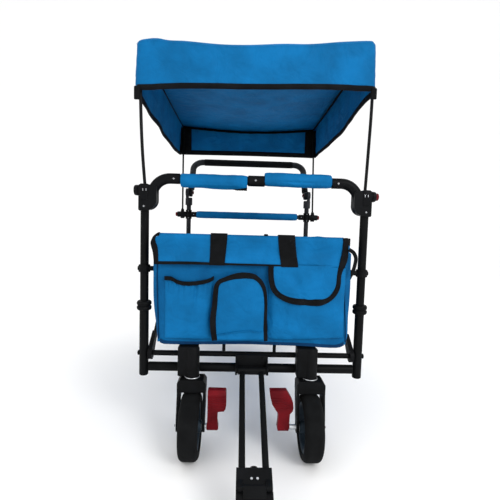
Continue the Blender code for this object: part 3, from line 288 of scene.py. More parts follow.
def bumped(tree, height, depth, strength=1.0, under=None):
    """A bump from a height, laid over the bump under it."""
    inputs = {"Height": height, "Distance": depth, "Strength": strength}
    if under:
        inputs["Normal"] = under
    return node(tree, "ShaderNodeBump", inputs).outputs["Normal"]


def oxford_polyester(name, light, deep, roughness=0.62):
    """Woven 600D polyester: plain weave, soft creases, colour a little uneven."""
    made, tree, shader, place = new_finish(name, "blue_fabric")
    thread = 0.0012  # drawn twice as coarse as the real 0.6 mm thread spacing, so that it shows
    threads = []
    for direction in ("X", "Y", "Z"):
        wave = node(
            tree, "ShaderNodeTexWave", {"Vector": place, "Scale": wave_scale(thread)},
            bands_direction=direction,
        )
        threads.append(wave.outputs["Fac"])
    pair = node(tree, "ShaderNodeMath", {0: threads[0], 1: threads[1]}, operation="ADD")
    weave = node(tree, "ShaderNodeMath", {0: pair.outputs[0], 1: threads[2]}, operation="ADD")
    crease = node(
        tree, "ShaderNodeTexNoise",
        {"Vector": place, "Scale": 22.0, "Detail": 3.0, "Distortion": 1.2},
    )
    soft = bumped(tree, crease.outputs["Fac"], 0.010, 0.6)
    normal = bumped(tree, weave.outputs[0], 0.00015, 0.5, soft)
    connect(tree, shader, {
        "Base Color": mottled(tree, place, light, deep, 14.0), "Normal": normal,
        "Roughness": roughness, "Specular IOR Level": 0.05,
    })
    return made


def ribbed_tape(name, light, deep, pitch, roughness=0.8):
    """Polypropylene tape: close cross ribs, matt, near black."""
    made, tree, shader, place = new_finish(name, "blue_fabric")
    ribs = node(
        tree, "ShaderNodeTexWave", {"Vector": place, "Scale": wave_scale(pitch), "Distortion": 0.4},
        bands_direction="DIAGONAL",
    )
    connect(tree, shader, {
        "Base Color": mottled(tree, place, light, deep, 40.0),
        "Normal": bumped(tree, ribs.outputs["Fac"], 0.0002, 0.6),
        "Roughness": roughness, "Specular IOR Level": 0.08,
    })
    return made


def powder_coat(name, light, deep, roughness=0.42):
    """Satin black powder coat on steel: fine orange peel and soft highlights."""
    made, tree, shader, place = new_finish(name, "black_paint")
    peel = node(tree, "ShaderNodeTexNoise", {"Vector": place, "Scale": 700.0, "Detail": 2.0})
    rough = node(tree, "ShaderNodeTexNoise", {"Vector": place, "Scale": 30.0, "Detail": 3.0})
    spread = node(
        tree, "ShaderNodeMapRange",
        {"Value": rough.outputs["Fac"], "To Min": roughness - 0.06, "To Max": roughness + 0.08},
    )
    connect(tree, shader, {
        "Base Color": mottled(tree, place, light, deep, 18.0),
        "Normal": bumped(tree, peel.outputs["Fac"], 0.0001, 0.35),
        "Roughness": spread.outputs["Result"], "Specular IOR Level": 0.06,
    })
    return made


def moulded_nylon(name, slot, light, deep, roughness=0.5, grain=900.0):
    """Injection-moulded nylon or ABS: a fine spark-eroded grain and an even colour."""
    made, tree, shader, place = new_finish(name, slot)
    texture = node(tree, "ShaderNodeTexNoise", {"Vector": place, "Scale": grain, "Detail": 3.0})
    connect(tree, shader, {
        "Base Color": mottled(tree, place, light, deep, 25.0),
        "Normal": bumped(tree, texture.outputs["Fac"], 0.0001, 0.5),
        "Roughness": roughness, "Specular IOR Level": 0.06,
    })
    return made


def foam_rubber(name, light, deep):
    """Foamed tyre rubber: very matt, slightly dusty, with open pores."""
    made, tree, shader, place = new_finish(name, "tyre_rubber")
    pores = node(tree, "ShaderNodeTexVoronoi", {"Vector": place, "Scale": 900.0})
    connect(tree, shader, {
        "Base Color": mottled(tree, place, light, deep, 35.0),
        "Normal": bumped(tree, pores.outputs["Distance"], 0.0002, 0.5),
        "Roughness": 0.85, "Specular IOR Level": 0.08,
    })
    return made


def zinc_steel(name, slot, code, roughness=0.32):
    """Zinc-plated steel: bright, with a faint brushed unevenness."""
    made, tree, shader, place = new_finish(name, slot)
    brushed = node(tree, "ShaderNodeTexNoise", {"Vector": place, "Scale": 250.0, "Detail": 4.0})
    spread = node(
        tree, "ShaderNodeMapRange",
        {"Value": brushed.outputs["Fac"], "To Min": roughness - 0.1, "To Max": roughness + 0.15},
    )
    connect(tree, shader, {
        "Base Color": linear(code), "Metallic": 1.0, "Roughness": spread.outputs["Result"],
    })
    return made


CLOTH = oxford_polyester("blue_oxford_polyester", "0b659d", "085788")
# Darker copy of the same blue cloth, for the bag body: painted shade under the flap and between the
# pockets
SHADED_CLOTH = oxford_polyester("blue_oxford_polyester_painted_shade", "09598c", "064a78")
# Darker blue for the side piping and the bottom tape: painted shade in the side seams and under the
# bag's rounded bottom edge
PAINTED_SHADE_BLUE = oxford_polyester("blue_painted_shade_tape", "08335a", "062848")
BINDING = ribbed_tape("black_binding_tape", "0f1114", "090a0c", 0.0016)
WEBBING = ribbed_tape("black_polypropylene_webbing", "0e0f11", "08090a", 0.0024)
THREAD = ribbed_tape("blue_sewing_thread", "1a74b0", "0e5a92", 0.0008, 0.6)
PAINT = powder_coat("black_powder_coat", "0d0e0f", "090a0b")
# Same black coat on the rear tubes, a little glossier, but painted a lighter grey: the lighter
# colour is painted highlight
REAR_PAINT = powder_coat("black_powder_coat_painted_highlight", "2c2d30", "1d1e20", 0.36)
NYLON = moulded_nylon("black_moulded_nylon", "black_plastic", "0f1012", "0a0b0c")
CASTING_NYLON = moulded_nylon("charcoal_moulded_nylon", "black_plastic", "0f1012", "0a0b0d", 0.46)
RED = moulded_nylon("dark_red_moulded_abs", "red_plastic", "6a1119", "520c13", 0.42)
BUTTON_RED = moulded_nylon("wine_red_moulded_abs", "red_plastic", "63131b", "480d14", 0.4)
RUBBER = foam_rubber("black_foam_rubber", "121314", "0c0d0e")
GRIP_RUBBER = foam_rubber("black_grip_rubber", "101113", "0a0b0c")
RIM = moulded_nylon("dark_grey_moulded_rim", "grey_rim", "2b3842", "1c252d", 0.45)
STEEL = zinc_steel("zinc_plated_steel", "bright_steel", "c9ccd0")
POLE = powder_coat("black_coated_pole", "17181a", "0f1011", 0.4)


# Shape tools


def side_vectors(axis):
    """Two unit vectors square to an axis; the first points down where it can."""
    start = Vector((0, 0, -1)) if abs(axis.z) < 0.9 else Vector((1, 0, 0))
    first = (start - axis * start.dot(axis)).normalized()
    return first, axis.cross(first).normalized()


def add_rings(bm, rings, looped=False):
    """Join rings of vertices, each of one or of n, into a surface."""
    pairs = list(zip(rings, rings[1:]))
    if looped:
        pairs.append((rings[-1], rings[0]))
    for low, high in pairs:
        count = max(len(low), len(high))
        for i in range(count):
            j = (i + 1) % count
            corners = [
                low[i % len(low)], low[j % len(low)], high[j % len(high)], high[i % len(high)],
            ]
            face = list(dict.fromkeys(corners))
            if len(face) > 2:
                bm.faces.new(face)


def add_turned(bm, profile, base, axis, sides=48, looped=False):
    """Revolve (radius, distance along the axis) pairs."""
    axis = Vector(axis).normalized()
    base = Vector(base)
    first, second = side_vectors(axis)
    rings = []
    for radius, along in profile:
        centre = base + axis * along
        if radius < 1e-6:
            rings.append([bm.verts.new(centre)])
            continue
        turns = [2 * math.pi * i / sides for i in range(sides)]
        rings.append([
            bm.verts.new(centre + (first * math.cos(t) + second * math.sin(t)) * radius)
            for t in turns
        ])
    add_rings(bm, rings, looped)


def add_rod(bm, start, end, radius, sides=32, edge=0.0006):
    """A round bar with its end edges broken."""
    start, end = Vector(start), Vector(end)
    length = (end - start).length
    profile = [
        (0, 0), (radius - edge, 0), (radius, edge), (radius, length - edge),
        (radius - edge, length),
    ]
    add_turned(bm, profile + [(0, length)], start, end - start, sides)


def filleted(points, radius, steps=12):
    """A path through the points with each inner corner rounded to a radius."""
    points = [Vector(p) for p in points]
    path = [points[0]]
    for before, corner, after in zip(points, points[1:], points[2:]):
        back = (before - corner).normalized()
        ahead = (after - corner).normalized()
        half = back.angle(ahead) / 2
        reach = radius / math.tan(half)
        centre = corner + (back + ahead).normalized() * (radius / math.sin(half))
        start = corner + back * reach - centre
        end = corner + ahead * reach - centre
        turn = start.angle(end)
        for i in range(steps + 1):
            part = i / steps
            weights = math.sin((1 - part) * turn), math.sin(part * turn)
            path.append(centre + (start * weights[0] + end * weights[1]) / math.sin(turn))
    path.append(points[-1])
    return path


def add_sweep(bm, path, radius, flat_normal, sides=32):
    """A round bar along a path in the plane square to flat_normal; its radius may change."""
    normal = Vector(flat_normal).normalized()
    path = [Vector(p) for p in path]
    rings = []
    for i, point in enumerate(path):
        along = path[min(i + 1, len(path) - 1)] - path[max(i - 1, 0)]
        across = along.normalized().cross(normal)
        here = radius[i] if hasattr(radius, "__len__") else radius
        turns = [2 * math.pi * k / sides for k in range(sides)]
        rings.append([
            bm.verts.new(point + (normal * math.cos(t) + across * math.sin(t)) * here)
            for t in turns
        ])
    add_rings(bm, rings)
    bm.faces.new(rings[0])
    bm.faces.new(rings[-1])


def arc(centre, radius, start, end, steps):
    """Points on a circle from one angle to another, in degrees."""
    points = []
    for i in range(steps + 1):
        angle = math.radians(start + (end - start) * i / steps)
        points.append((centre[0] + radius * math.cos(angle), centre[1] + radius * math.sin(angle)))
    return points


def lift(point, level, axis):
    """Place a flat point at a level along the X, Y or Z axis."""
    first, second = point
    places = {"X": (level, first, second), "Y": (first, level, second), "Z": (first, second, level)}
    return places[axis]


def add_plate(bm, outline, levels, axis, holes=()):
    """Extrude a flat outline with holes between two levels along an axis."""
    low, high = levels
    edges = []
    for loop in [outline, *holes]:
        verts = [bm.verts.new(lift(p, low, axis)) for p in loop]
        edges += [bm.edges.new((verts[i - 1], verts[i])) for i in range(len(verts))]
    filled = bmesh.ops.triangle_fill(bm, edges=edges, use_beauty=True, normal=lift((0, 0), 1, axis))
    faces = [g for g in filled["geom"] if isinstance(g, bmesh.types.BMFace)]
    made = bmesh.ops.extrude_face_region(bm, geom=faces)
    verts = [g for g in made["geom"] if isinstance(g, bmesh.types.BMVert)]
    bmesh.ops.translate(bm, verts=verts, vec=lift((0, 0), high - low, axis))


def add_slab(bm, x, y, z, bevel=0.0, segments=3):
    """A box between two levels on each axis, with its edges rounded."""
    size = Vector((x[1] - x[0], y[1] - y[0], z[1] - z[0]))
    centre = Vector((sum(x) / 2, sum(y) / 2, sum(z) / 2))
    made = bmesh.ops.create_cube(bm, size=1.0)
    for vert in made["verts"]:
        vert.co = centre + Vector(a * b for a, b in zip(vert.co, size))
    if bevel:
        edges = list({e for v in made["verts"] for e in v.link_edges})
        bmesh.ops.bevel(
            bm, geom=edges, offset=bevel, segments=segments, profile=0.5, affect="EDGES",
        )


def span(sign, low, high):
    """A pair of X levels on one side of the wagon, in rising order."""
    return tuple(sorted((sign * low, sign * high)))


def add_grid(bm, rows):
    """A surface through rows of points."""
    grid = [[bm.verts.new(p) for p in row] for row in rows]
    for lower, upper in zip(grid, grid[1:]):
        for i in range(len(lower) - 1):
            bm.faces.new((lower[i], lower[i + 1], upper[i + 1], upper[i]))
    return grid


def add_band(bm, path, across, width, thickness, edge=0.25):
    """A flat band of tape along a path.

    across is the way its width runs and its face's normal: one pair, or a list with one per point.
    """
    ways = [across] * len(path) if isinstance(across, tuple) else across
    rings = []
    for i, (point, (side, face)) in enumerate(zip(path, ways)):
        point = Vector(point)
        side, face = Vector(side).normalized(), Vector(face).normalized()
        half = width / 2 if not hasattr(width, "__len__") else width[i] / 2
        inner = half - edge * thickness
        section = [
            (-half, 0), (-inner, 0.5), (inner, 0.5), (half, 0), (inner, -0.5), (-inner, -0.5),
        ]
        rings.append([bm.verts.new(point + side * a + face * b * thickness) for a, b in section])
    add_rings(bm, rings)
    bm.faces.new(rings[0])
    bm.faces.new(rings[-1])


def smoothstep(value):
    """Ease from 0 to 1, level at both ends."""
    value = max(0.0, min(1.0, value))
    return value * value * (3 - 2 * value)


def wrinkle(point, scale, seed, stretch=(1, 1, 1)):
    """Smooth noise from -1 to 1 at a point, with its own seed."""
    own = Vector((seed * 7.3, seed * 3.1, seed * 5.7))
    return noise.noise(Vector([c * s * scale for c, s in zip(point, stretch)]) + own)


def through(points, at):
    """Value at a place on a smooth curve through (place, value) points."""
    at = max(points[0][0], min(points[-1][0], at))
    last = len(points) - 1
    index = max(i for i in range(last) if points[i][0] <= at)
    before, start, end, after = (points[max(0, min(last, index + k))] for k in (-1, 0, 1, 2))
    width = end[0] - start[0]
    part = (at - start[0]) / width
    rise = (end[1] - before[1]) / (end[0] - before[0]) * width
    fall = (after[1] - start[1]) / (after[0] - start[0]) * width
    square, cube = part ** 2, part ** 3
    value = (2 * cube - 3 * square + 1) * start[1] + (cube - 2 * square + part) * rise
    return value + (3 * square - 2 * cube) * end[1] + (cube - square) * fall


def smooth_path(corners, count):
    """Evenly spaced points on a smooth curve through corners, which may carry a width too."""
    marks = [0.0]
    for a, b in zip(corners, corners[1:]):
        marks.append(marks[-1] + math.dist(a[:2], b[:2]))
    curves = [list(zip(marks, values)) for values in zip(*corners)]
    places = [marks[-1] * i / count for i in range(count + 1)]
    return [tuple(through(curve, place) for curve in curves) for place in places]


def tape_ways(points, lean=0.0):
    """For tape along (x, z) points on the front: the way its width runs and its face's normal."""
    ways = []
    for i in range(len(points)):
        before, after = points[max(0, i - 1)], points[min(len(points) - 1, i + 1)]
        along = Vector((after[0] - before[0], 0, after[1] - before[1])).normalized()
        side = Vector((along.z, 0, -along.x))
        ways.append((side + Vector((0, -lean, 0)), Vector((0, -1, 0)) - side * lean))
    return ways


def mesh_from(name, bm):
    """The mesh of a bmesh, which is freed."""
    mesh = bpy.data.meshes.new(name)
    bm.to_mesh(mesh)
    bm.free()
    return mesh


def linked(name, data):
    """A new object in the scene."""
    made = bpy.data.objects.new(name, data)
    bpy.context.scene.collection.objects.link(made)
    return made


def combined(operation, base, *tools):
    """One mesh from closed shapes joined to the base (UNION) or cut out of it (DIFFERENCE)."""
    objects = []
    for bm in (base, *tools):
        bmesh.ops.recalc_face_normals(bm, faces=bm.faces)
        objects.append(linked("shape", mesh_from("shape", bm)))
    for tool in objects[1:]:
        step = objects[0].modifiers.new("step", "BOOLEAN")
        step.operation = operation
        step.solver = "EXACT"
        step.object = tool
    evaluated = objects[0].evaluated_get(bpy.context.evaluated_depsgraph_get())
    bm = bmesh.new()
    bm.from_mesh(bpy.data.meshes.new_from_object(evaluated))
    bmesh.ops.remove_doubles(bm, verts=bm.verts, dist=1e-6)
    for shape in objects:
        bpy.data.objects.remove(shape)
    return bm


def piece(name, bm, finish, body, stands_for=(), **form):
    """A drawn shape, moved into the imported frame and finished; form goes on to finished."""
    bmesh.ops.recalc_face_normals(bm, faces=bm.faces)
    bmesh.ops.translate(bm, verts=bm.verts, vec=(0, FRONT_Y, 0))
    return finished(name, mesh_from(name, bm), finish, body, stands_for, **form)


def turned(name, profile, base, axis, finish, body, stands_for=(), sides=48, looped=False, **form):
    """A piece that is one profile revolved about an axis."""
    bm = bmesh.new()
    add_turned(bm, profile, base, axis, sides, looped)
    return piece(name, bm, finish, body, stands_for, **form)


def front_tape(name, path, across, width, thickness, finish=BINDING):
    """One band of tape on the bag."""
    bm = bmesh.new()
    add_band(bm, path, across, width, thickness)
    return piece(name, bm, finish, "front_frame", angle=60)


def front_cloth(name, rows, thickness, **form):
    """One sheet of the bag's cloth through rows of points."""
    bm = bmesh.new()
    add_grid(bm, rows)
    return piece(name, bm, CLOTH, "front_frame", angle=60, thickness=thickness, **form)


def finished(
    name, mesh, finish, body, stands_for=(), bevel=0.0, angle=35, thickness=0.0, subdivide=0,
    offset=0.0,
):
    """A piece that rides on a body, with the modifiers that round or thicken it."""
    mesh.materials.clear()
    mesh.materials.append(finish)
    mesh.shade_smooth()
    mesh.set_sharp_from_angle(angle=math.radians(angle))
    made = linked(name, mesh)
    if thickness:
        shell = made.modifiers.new("cloth_thickness", "SOLIDIFY")
        shell.thickness = thickness
        shell.offset = offset
    if bevel:
        rounding = made.modifiers.new("broken_edges", "BEVEL")
        rounding.width = bevel
        rounding.segments = 2
        rounding.limit_method = "ANGLE"
        rounding.angle_limit = math.radians(angle)
        rounding.harden_normals = True
    if subdivide:
        smooth = made.modifiers.new("smooth_form", "SUBSURF")
        smooth.levels = subdivide
        smooth.render_levels = subdivide
    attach(made, body)
    if stands_for:
        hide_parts(*stands_for)
    return made


def refined(node_name, finish, body, bevel=0.0007, angle=38):
    """The CAD node's own shape, with its triangles merged to clean faces and its edges broken."""
    bm = bmesh.new()
    bm.from_mesh(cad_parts[node_name].data)
    bmesh.ops.remove_doubles(bm, verts=bm.verts, dist=1e-5)
    bmesh.ops.dissolve_limit(bm, angle_limit=math.radians(1.0), verts=bm.verts, edges=bm.edges)
    mesh = mesh_from(node_name, bm)
    return finished(f"fine_{node_name}", mesh, finish, body, [node_name], bevel=bevel, angle=angle)


def merged(base, *others):
    """Closed shapes joined to one."""
    return combined("UNION", base, *others)


def cut(base, *tools):
    """A closed shape with others cut out of it."""
    return combined("DIFFERENCE", base, *tools)


# Repeated small pieces, made by geometry nodes


def tree_with_inputs(name, sizes):
    """An empty geometry tree whose sizes are named inputs."""
    tree = bpy.data.node_groups.new(name, "GeometryNodeTree")
    tree.interface.new_socket("Geometry", in_out="INPUT", socket_type="NodeSocketGeometry")
    for label in sizes:
        tree.interface.new_socket(label, in_out="INPUT", socket_type="NodeSocketFloat")
    tree.interface.new_socket("Material", in_out="INPUT", socket_type="NodeSocketMaterial")
    tree.interface.new_socket("Geometry", in_out="OUTPUT", socket_type="NodeSocketGeometry")
    return tree, tree.nodes.new("NodeGroupInput"), tree.nodes.new("NodeGroupOutput")


def close_tree(tree, instances, source, target):
    """End a tree as the export needs it: real geometry with its material set."""
    real = node(tree, "GeometryNodeRealizeInstances", {"Geometry": instances})
    painted = node(
        tree, "GeometryNodeSetMaterial",
        {"Geometry": real.outputs["Geometry"], "Material": source.outputs["Material"]},
    )
    tree.links.new(painted.outputs["Geometry"], target.inputs["Geometry"])


def screw_tree():
    """Round screw heads with a rim and a driver recess, one on each point, facing along its aim."""
    tree, source, target = tree_with_inputs("screw_heads", ("Radius", "Height"))
    radius, height = source.outputs["Radius"], source.outputs["Height"]
    head = node(
        tree, "GeometryNodeMeshCone",
        {"Vertices": 20, "Radius Bottom": radius, "Depth": height}, fill_type="NGON",
    )
    top = node(tree, "ShaderNodeMath", {0: radius, 1: 0.78}, operation="MULTIPLY")
    tree.links.new(top.outputs[0], head.inputs["Radius Top"])
    bar_length = node(tree, "ShaderNodeMath", {0: radius, 1: 0.95}, operation="MULTIPLY")
    bar_width = node(tree, "ShaderNodeMath", {0: radius, 1: 0.24}, operation="MULTIPLY")
    bar_size = node(
        tree, "ShaderNodeCombineXYZ",
        {"X": bar_length.outputs[0], "Y": bar_width.outputs[0], "Z": bar_width.outputs[0]},
    )
    bar = node(tree, "GeometryNodeMeshCube", {"Size": bar_size.outputs[0]})
    lifted = node(tree, "ShaderNodeCombineXYZ", {"Z": height})
    raised = node(
        tree, "GeometryNodeTransform",
        {"Geometry": bar.outputs["Mesh"], "Translation": lifted.outputs[0]},
    )
    turned_bar = node(
        tree, "GeometryNodeTransform",
        {"Geometry": raised.outputs["Geometry"], "Rotation": (0, 0, math.pi / 2)},
    )
    cross = node(tree, "GeometryNodeJoinGeometry")
    tree.links.new(raised.outputs["Geometry"], cross.inputs[0])
    tree.links.new(turned_bar.outputs["Geometry"], cross.inputs[0])
    recessed = node(
        tree, "GeometryNodeMeshBoolean",
        {"Mesh 1": head.outputs["Mesh"], "Mesh 2": cross.outputs["Geometry"]},
        operation="DIFFERENCE",
    )
    aim = node(tree, "GeometryNodeInputNamedAttribute", {"Name": "aim"}, data_type="FLOAT_VECTOR")
    turn = node(
        tree, "FunctionNodeAlignRotationToVector", {"Vector": aim.outputs["Attribute"]}, axis="Z",
    )
    placed = node(
        tree, "GeometryNodeInstanceOnPoints",
        {
            "Points": source.outputs["Geometry"], "Instance": recessed.outputs["Mesh"],
            "Rotation": turn.outputs["Rotation"],
        },
    )
    close_tree(tree, placed.outputs["Instances"], source, target)
    return tree


def stitch_tree():
    """Short stitches laid end to end along each path, with a gap between them."""
    tree, source, target = tree_with_inputs("stitches", ("Spacing", "Length", "Thread"))
    curve = node(tree, "GeometryNodeMeshToCurve", {"Mesh": source.outputs["Geometry"]})
    points = node(
        tree, "GeometryNodeCurveToPoints",
        {"Curve": curve.outputs["Curve"], "Length": source.outputs["Spacing"]}, mode="LENGTH",
    )
    thread = source.outputs["Thread"]
    size = node(
        tree, "ShaderNodeCombineXYZ", {"X": thread, "Y": thread, "Z": source.outputs["Length"]},
    )
    half = node(
        tree, "ShaderNodeVectorMath", {0: size.outputs[0], 1: (0.5, 0.5, 0.5)},
        operation="MULTIPLY",
    )
    ball = node(tree, "GeometryNodeMeshUVSphere", {"Segments": 6, "Rings": 4, "Radius": 1.0})
    turn = node(
        tree, "FunctionNodeAlignRotationToVector", {"Vector": points.outputs["Tangent"]}, axis="Z",
    )
    placed = node(
        tree, "GeometryNodeInstanceOnPoints",
        {
            "Points": points.outputs["Points"], "Instance": ball.outputs["Mesh"],
            "Rotation": turn.outputs["Rotation"], "Scale": half.outputs[0],
        },
    )
    close_tree(tree, placed.outputs["Instances"], source, target)
    return tree


SCREWS = screw_tree()
STITCHES = stitch_tree()


def from_tree(name, mesh, tree, sizes, finish, body, angle=30):
    """Runs a geometry tree on a mesh and keeps the result as a plain piece."""
    carrier = linked(f"{name}_carrier", mesh)
    modifier = carrier.modifiers.new("repeat", "NODES")
    modifier.node_group = tree
    values = dict(sizes, Material=finish)
    for item in tree.interface.items_tree:
        if item.in_out == "INPUT" and item.name in values:
            modifier[item.identifier] = values[item.name]
    bpy.context.view_layer.update()
    evaluated = carrier.evaluated_get(bpy.context.evaluated_depsgraph_get())
    made = bpy.data.meshes.new_from_object(evaluated)
    bpy.data.objects.remove(carrier)
    return finished(name, made, finish, body, angle=angle)


def screws(name, spots, body, radius=0.0034, height=0.0014, finish=STEEL):
    """Screw heads at (point, direction) spots on one body."""
    mesh = bpy.data.meshes.new(name)
    mesh.from_pydata([Vector(p) + Vector((0, FRONT_Y, 0)) for p, _ in spots], [], [])
    aim = mesh.attributes.new("aim", "FLOAT_VECTOR", "POINT")
    for i, (_, direction) in enumerate(spots):
        aim.data[i].vector = Vector(direction).normalized()
    return from_tree(name, mesh, SCREWS, {"Radius": radius, "Height": height}, finish, body)


def stitching(name, paths, body, finish=THREAD, spacing=0.0042, length=0.0030, thread=0.0008):
    """Rows of stitches along paths on one body."""
    bm = bmesh.new()
    for path in paths:
        verts = [bm.verts.new(Vector(p) + Vector((0, FRONT_Y, 0))) for p in path]
        for first, second in zip(verts, verts[1:]):
            bm.edges.new((first, second))
    sizes = {"Spacing": spacing, "Length": length, "Thread": thread}
    return from_tree(name, mesh_from(name, bm), STITCHES, sizes, finish, body)


# Frame


def coupling_profile():
    """Moulded coupling: two bulges with a groove between them."""
    upper = [
        (0.0150, 0.0006), (0.0168, 0.0018), (0.0176, 0.0042), (0.0176, 0.0070), (0.0166, 0.0096),
    ]
    upper += [(0.0150, 0.0110), (0.0118, 0.0116), (0.0104, 0.0116)]
    lower = [(radius, -rise) for radius, rise in reversed(upper)]
    lower[0] = (0.0112, -0.0116)
    lower[1] = (0.0122, -0.0116)
    return lower + upper


def post_profile(top, bore_depth=0.02):
    """A post: thicker below its coupling, and open at its top."""
    bore = UPPER_POST_R - 0.0014
    profile = [(0, POST_BOTTOM), (POST_R - 0.0012, POST_BOTTOM), (POST_R, POST_BOTTOM + 0.0012)]
    profile += [
        (POST_R, COUPLING_Z), (UPPER_POST_R, COUPLING_Z + 0.0001), (UPPER_POST_R, top - 0.0004),
    ]
    profile += [
        (UPPER_POST_R - 0.0004, top), (bore, top), (bore, top - bore_depth), (0, top - bore_depth),
    ]
    return profile


def uprights():
    """Posts, their couplings, foot plugs and outer rivets."""
    rows = (
        ("front", 0.0, FRONT_POST_TOP, "front_frame", PAINT),
        ("rear", DEPTH, REAR_POST_TOP, "rear_frame", REAR_PAINT),
    )
    for end, y, top, body, paint in rows:
        rivets = []
        for sign, side in SIDES:
            x = sign * POST_X
            post, boss = bmesh.new(), bmesh.new()
            add_turned(post, post_profile(top), (x, y, 0), (0, 0, 1))
            add_rod(boss, (sign * 0.2430, y, LOW_PIN_Z), (sign * 0.2785, y, LOW_PIN_Z), 0.0060)
            shapes = [boss]
            if end == "rear":
                pin = bmesh.new()
                add_rod(
                    pin, (sign * 0.2358, y, LOW_PIN_Z), (sign * 0.2440, y, LOW_PIN_Z), 0.003, 16,
                )
                shapes += [pin, *rear_hinge_shapes(sign)]
            piece(
                f"{end}_upright_{side}", merged(post, *shapes), paint, body, [f"{end}_post_{side}"],
            )
            turned(
                f"{end}_coupling_{side}", coupling_profile(), (x, y, COUPLING_Z), (0, 0, 1), NYLON,
                body, looped=True,
            )
            profile = [
                (0, -0.0022), (0.0088, -0.0022), (0.0104, -0.0010), (0.0108, 0.0004), (0, 0.0004),
            ]
            turned(f"{end}_foot_plug_{side}", profile, (x, y, POST_BOTTOM), (0, 0, 1), NYLON, body)
            rivets.append(((sign * 0.2783, y, LOW_PIN_Z), (sign, 0, 0)))
        screws(f"{end}_pivot_rivets", rivets, body, 0.0046, 0.0016, PAINT)


def rear_hinge_shapes(sign):
    """Fixed half of the push handle's hinge on a rear post, and the thick sleeve below it."""
    hinge_y, hinge_z = PUSH_HINGE
    neck, disc, axle, sleeve = (bmesh.new() for _ in range(4))
    add_slab(
        neck, span(sign, 0.2646, 0.2775), (DEPTH - 0.008, DEPTH + 0.010), (0.636, 0.668), 0.003,
    )
    profile = [
        (0, 0), (HINGE_R - 0.003, 0), (HINGE_R - 0.0008, 0.0009), (HINGE_R, 0.003),
        (HINGE_R, 0.0138),
    ]
    add_turned(disc, profile + [(0, 0.0138)], (sign * 0.2785, hinge_y, hinge_z), (-sign, 0, 0), 56)
    add_rod(axle, (sign * 0.2560, hinge_y, hinge_z), (sign * 0.2700, hinge_y, hinge_z), 0.004, 24)
    profile = [
        (0, 0), (0.0138, 0), (0.0152, 0.0014), (0.0152, 0.0300), (0.0124, 0.0334), (0, 0.0334),
    ]
    add_turned(sleeve, profile, (sign * POST_X, DEPTH, 0.6186), (0, 0, 1))
    return [neck, disc, axle, sleeve]


def crossbars():
    """Lower cross tubes of both frames."""
    profile = mirrored([(POST_R - 0.0014, -CROSSBAR_HALF), (POST_R, -CROSSBAR_HALF)])
    for end, y in (("front", 0.0), ("rear", DEPTH)):
        turned(
            f"{end}_crossbar_tube", profile, (0, y, CROSSBAR_Z), (1, 0, 0), PAINT, f"{end}_frame",
            [f"{end}_crossbar"], looped=True,
        )


def linkage():
    """Scissor arms, tie rods and collars with broken edges, moulded arm ends and rivet heads."""
    for index in (1, 2, 3):
        refined(f"outer_arms_{index}", PAINT, f"outer_arms_{index}", 0.0006)
    for index in (1, 2):
        for _, side in SIDES:
            refined(f"inner_arm_{index}_{side}", PAINT, f"inner_arms_{index}", 0.0006)
    refined("inner_arms_3", PAINT, "inner_arms_3", 0.0006)
    pitch = DEPTH / 3
    rise = math.atan2(COLLAR_Z - LOW_PIN_Z, pitch)
    for index in range(3):
        spots = []
        for sign, _ in SIDES:
            centre = ((index + 0.5) * pitch, (LOW_PIN_Z + COLLAR_Z) / 2)
            spots.append(((sign * RIVET_X, *centre), (sign, 0, 0)))
            if index < 2:
                spots.append(((sign * RIVET_X, (index + 1) * pitch, COLLAR_Z), (sign, 0, 0)))
            if index > 0:
                spots.append(((sign * RIVET_X, index * pitch, LOW_PIN_Z), (sign, 0, 0)))
        screws(f"arm_rivets_{index + 1}", spots, f"outer_arms_{index + 1}", 0.0048, 0.0013)
    for sign, side in SIDES:
        shoe = bmesh.new()
        angle = math.degrees(rise)
        outline = arc((0, LOW_PIN_Z), 0.0155, angle + 90, angle + 270, 14)
        outline += arc(
            (0.055 * math.cos(rise), LOW_PIN_Z + 0.055 * math.sin(rise)), 0.0095, angle - 80,
            angle + 80, 8,
        )
        add_plate(shoe, outline, span(sign, 0.2423, 0.2526), "X")
        piece(f"arm_end_shoe_{side}", shoe, NYLON, "outer_arms_1", bevel=0.0012)
    turned(
        "front_tie_rod_sleeve", mirrored([(0.0057, -0.2405), (0.0066, -0.2405)]),
        (0, 0, LOW_PIN_Z), (1, 0, 0), PAINT, "outer_arms_1", sides=32, looped=True,
    )
    for end in ("front", "rear"):
        body = f"{end}_collars"
        for _, side in SIDES:
            refined(f"{end}_collar_{side}", NYLON, body, 0.0006, 44)
        y = 0.0 if end == "front" else DEPTH
        spots = [((sign * 0.2793, y, COLLAR_Z), (sign, 0, 0)) for sign, _ in SIDES]
        screws(f"{end}_collar_screws", spots, body, 0.0042, 0.0014)


# Wheels and casters


def tyre_section():
    """Half section of the tyre, from the rim to the tread: smooth, with full round shoulders."""
    side = [(RIM_R + 0.0003, 0.0185), (0.0590, 0.0208), (0.0615, 0.0220)]
    side += arc((0.0642, 0.0105), 0.0120, 92, 8, 10)
    return side + [(WHEEL_R - 0.0001, 0.0085), (WHEEL_R, 0.0040)]


def rim_section():
    """Half section of the rim, from the hub's bore to the tyre seat."""
    side = [
        (0.0045, 0.0250), (0.0060, 0.0255), (0.0120, 0.0255), (0.0134, 0.0245), (0.0145, 0.0200),
        (0.0160, 0.0060),
    ]
    side += [
        (0.0200, 0.0042), (0.0460, 0.0036), (0.0482, 0.0060), (0.0500, 0.0160), (0.0520, 0.0178),
        (0.0560, 0.0185),
    ]
    return side


def mirrored(side):
    """A half section with its mirror image, all in one run."""
    return side + [(radius, -across) for radius, across in reversed(side)]


def window_tools(centre):
    """Rounded openings between the five spokes."""
    y, z = centre[1], centre[2]
    tool = bmesh.new()
    for index in range(5):
        middle = 90 + index * 72
        outline = arc((y, z), 0.0440, middle - 25, middle + 25, 10)
        outline += arc((y, z), 0.0225, middle + 15, middle - 15, 5)
        add_plate(tool, outline, (centre[0] - 0.012, centre[0] + 0.012), "X")
    return tool


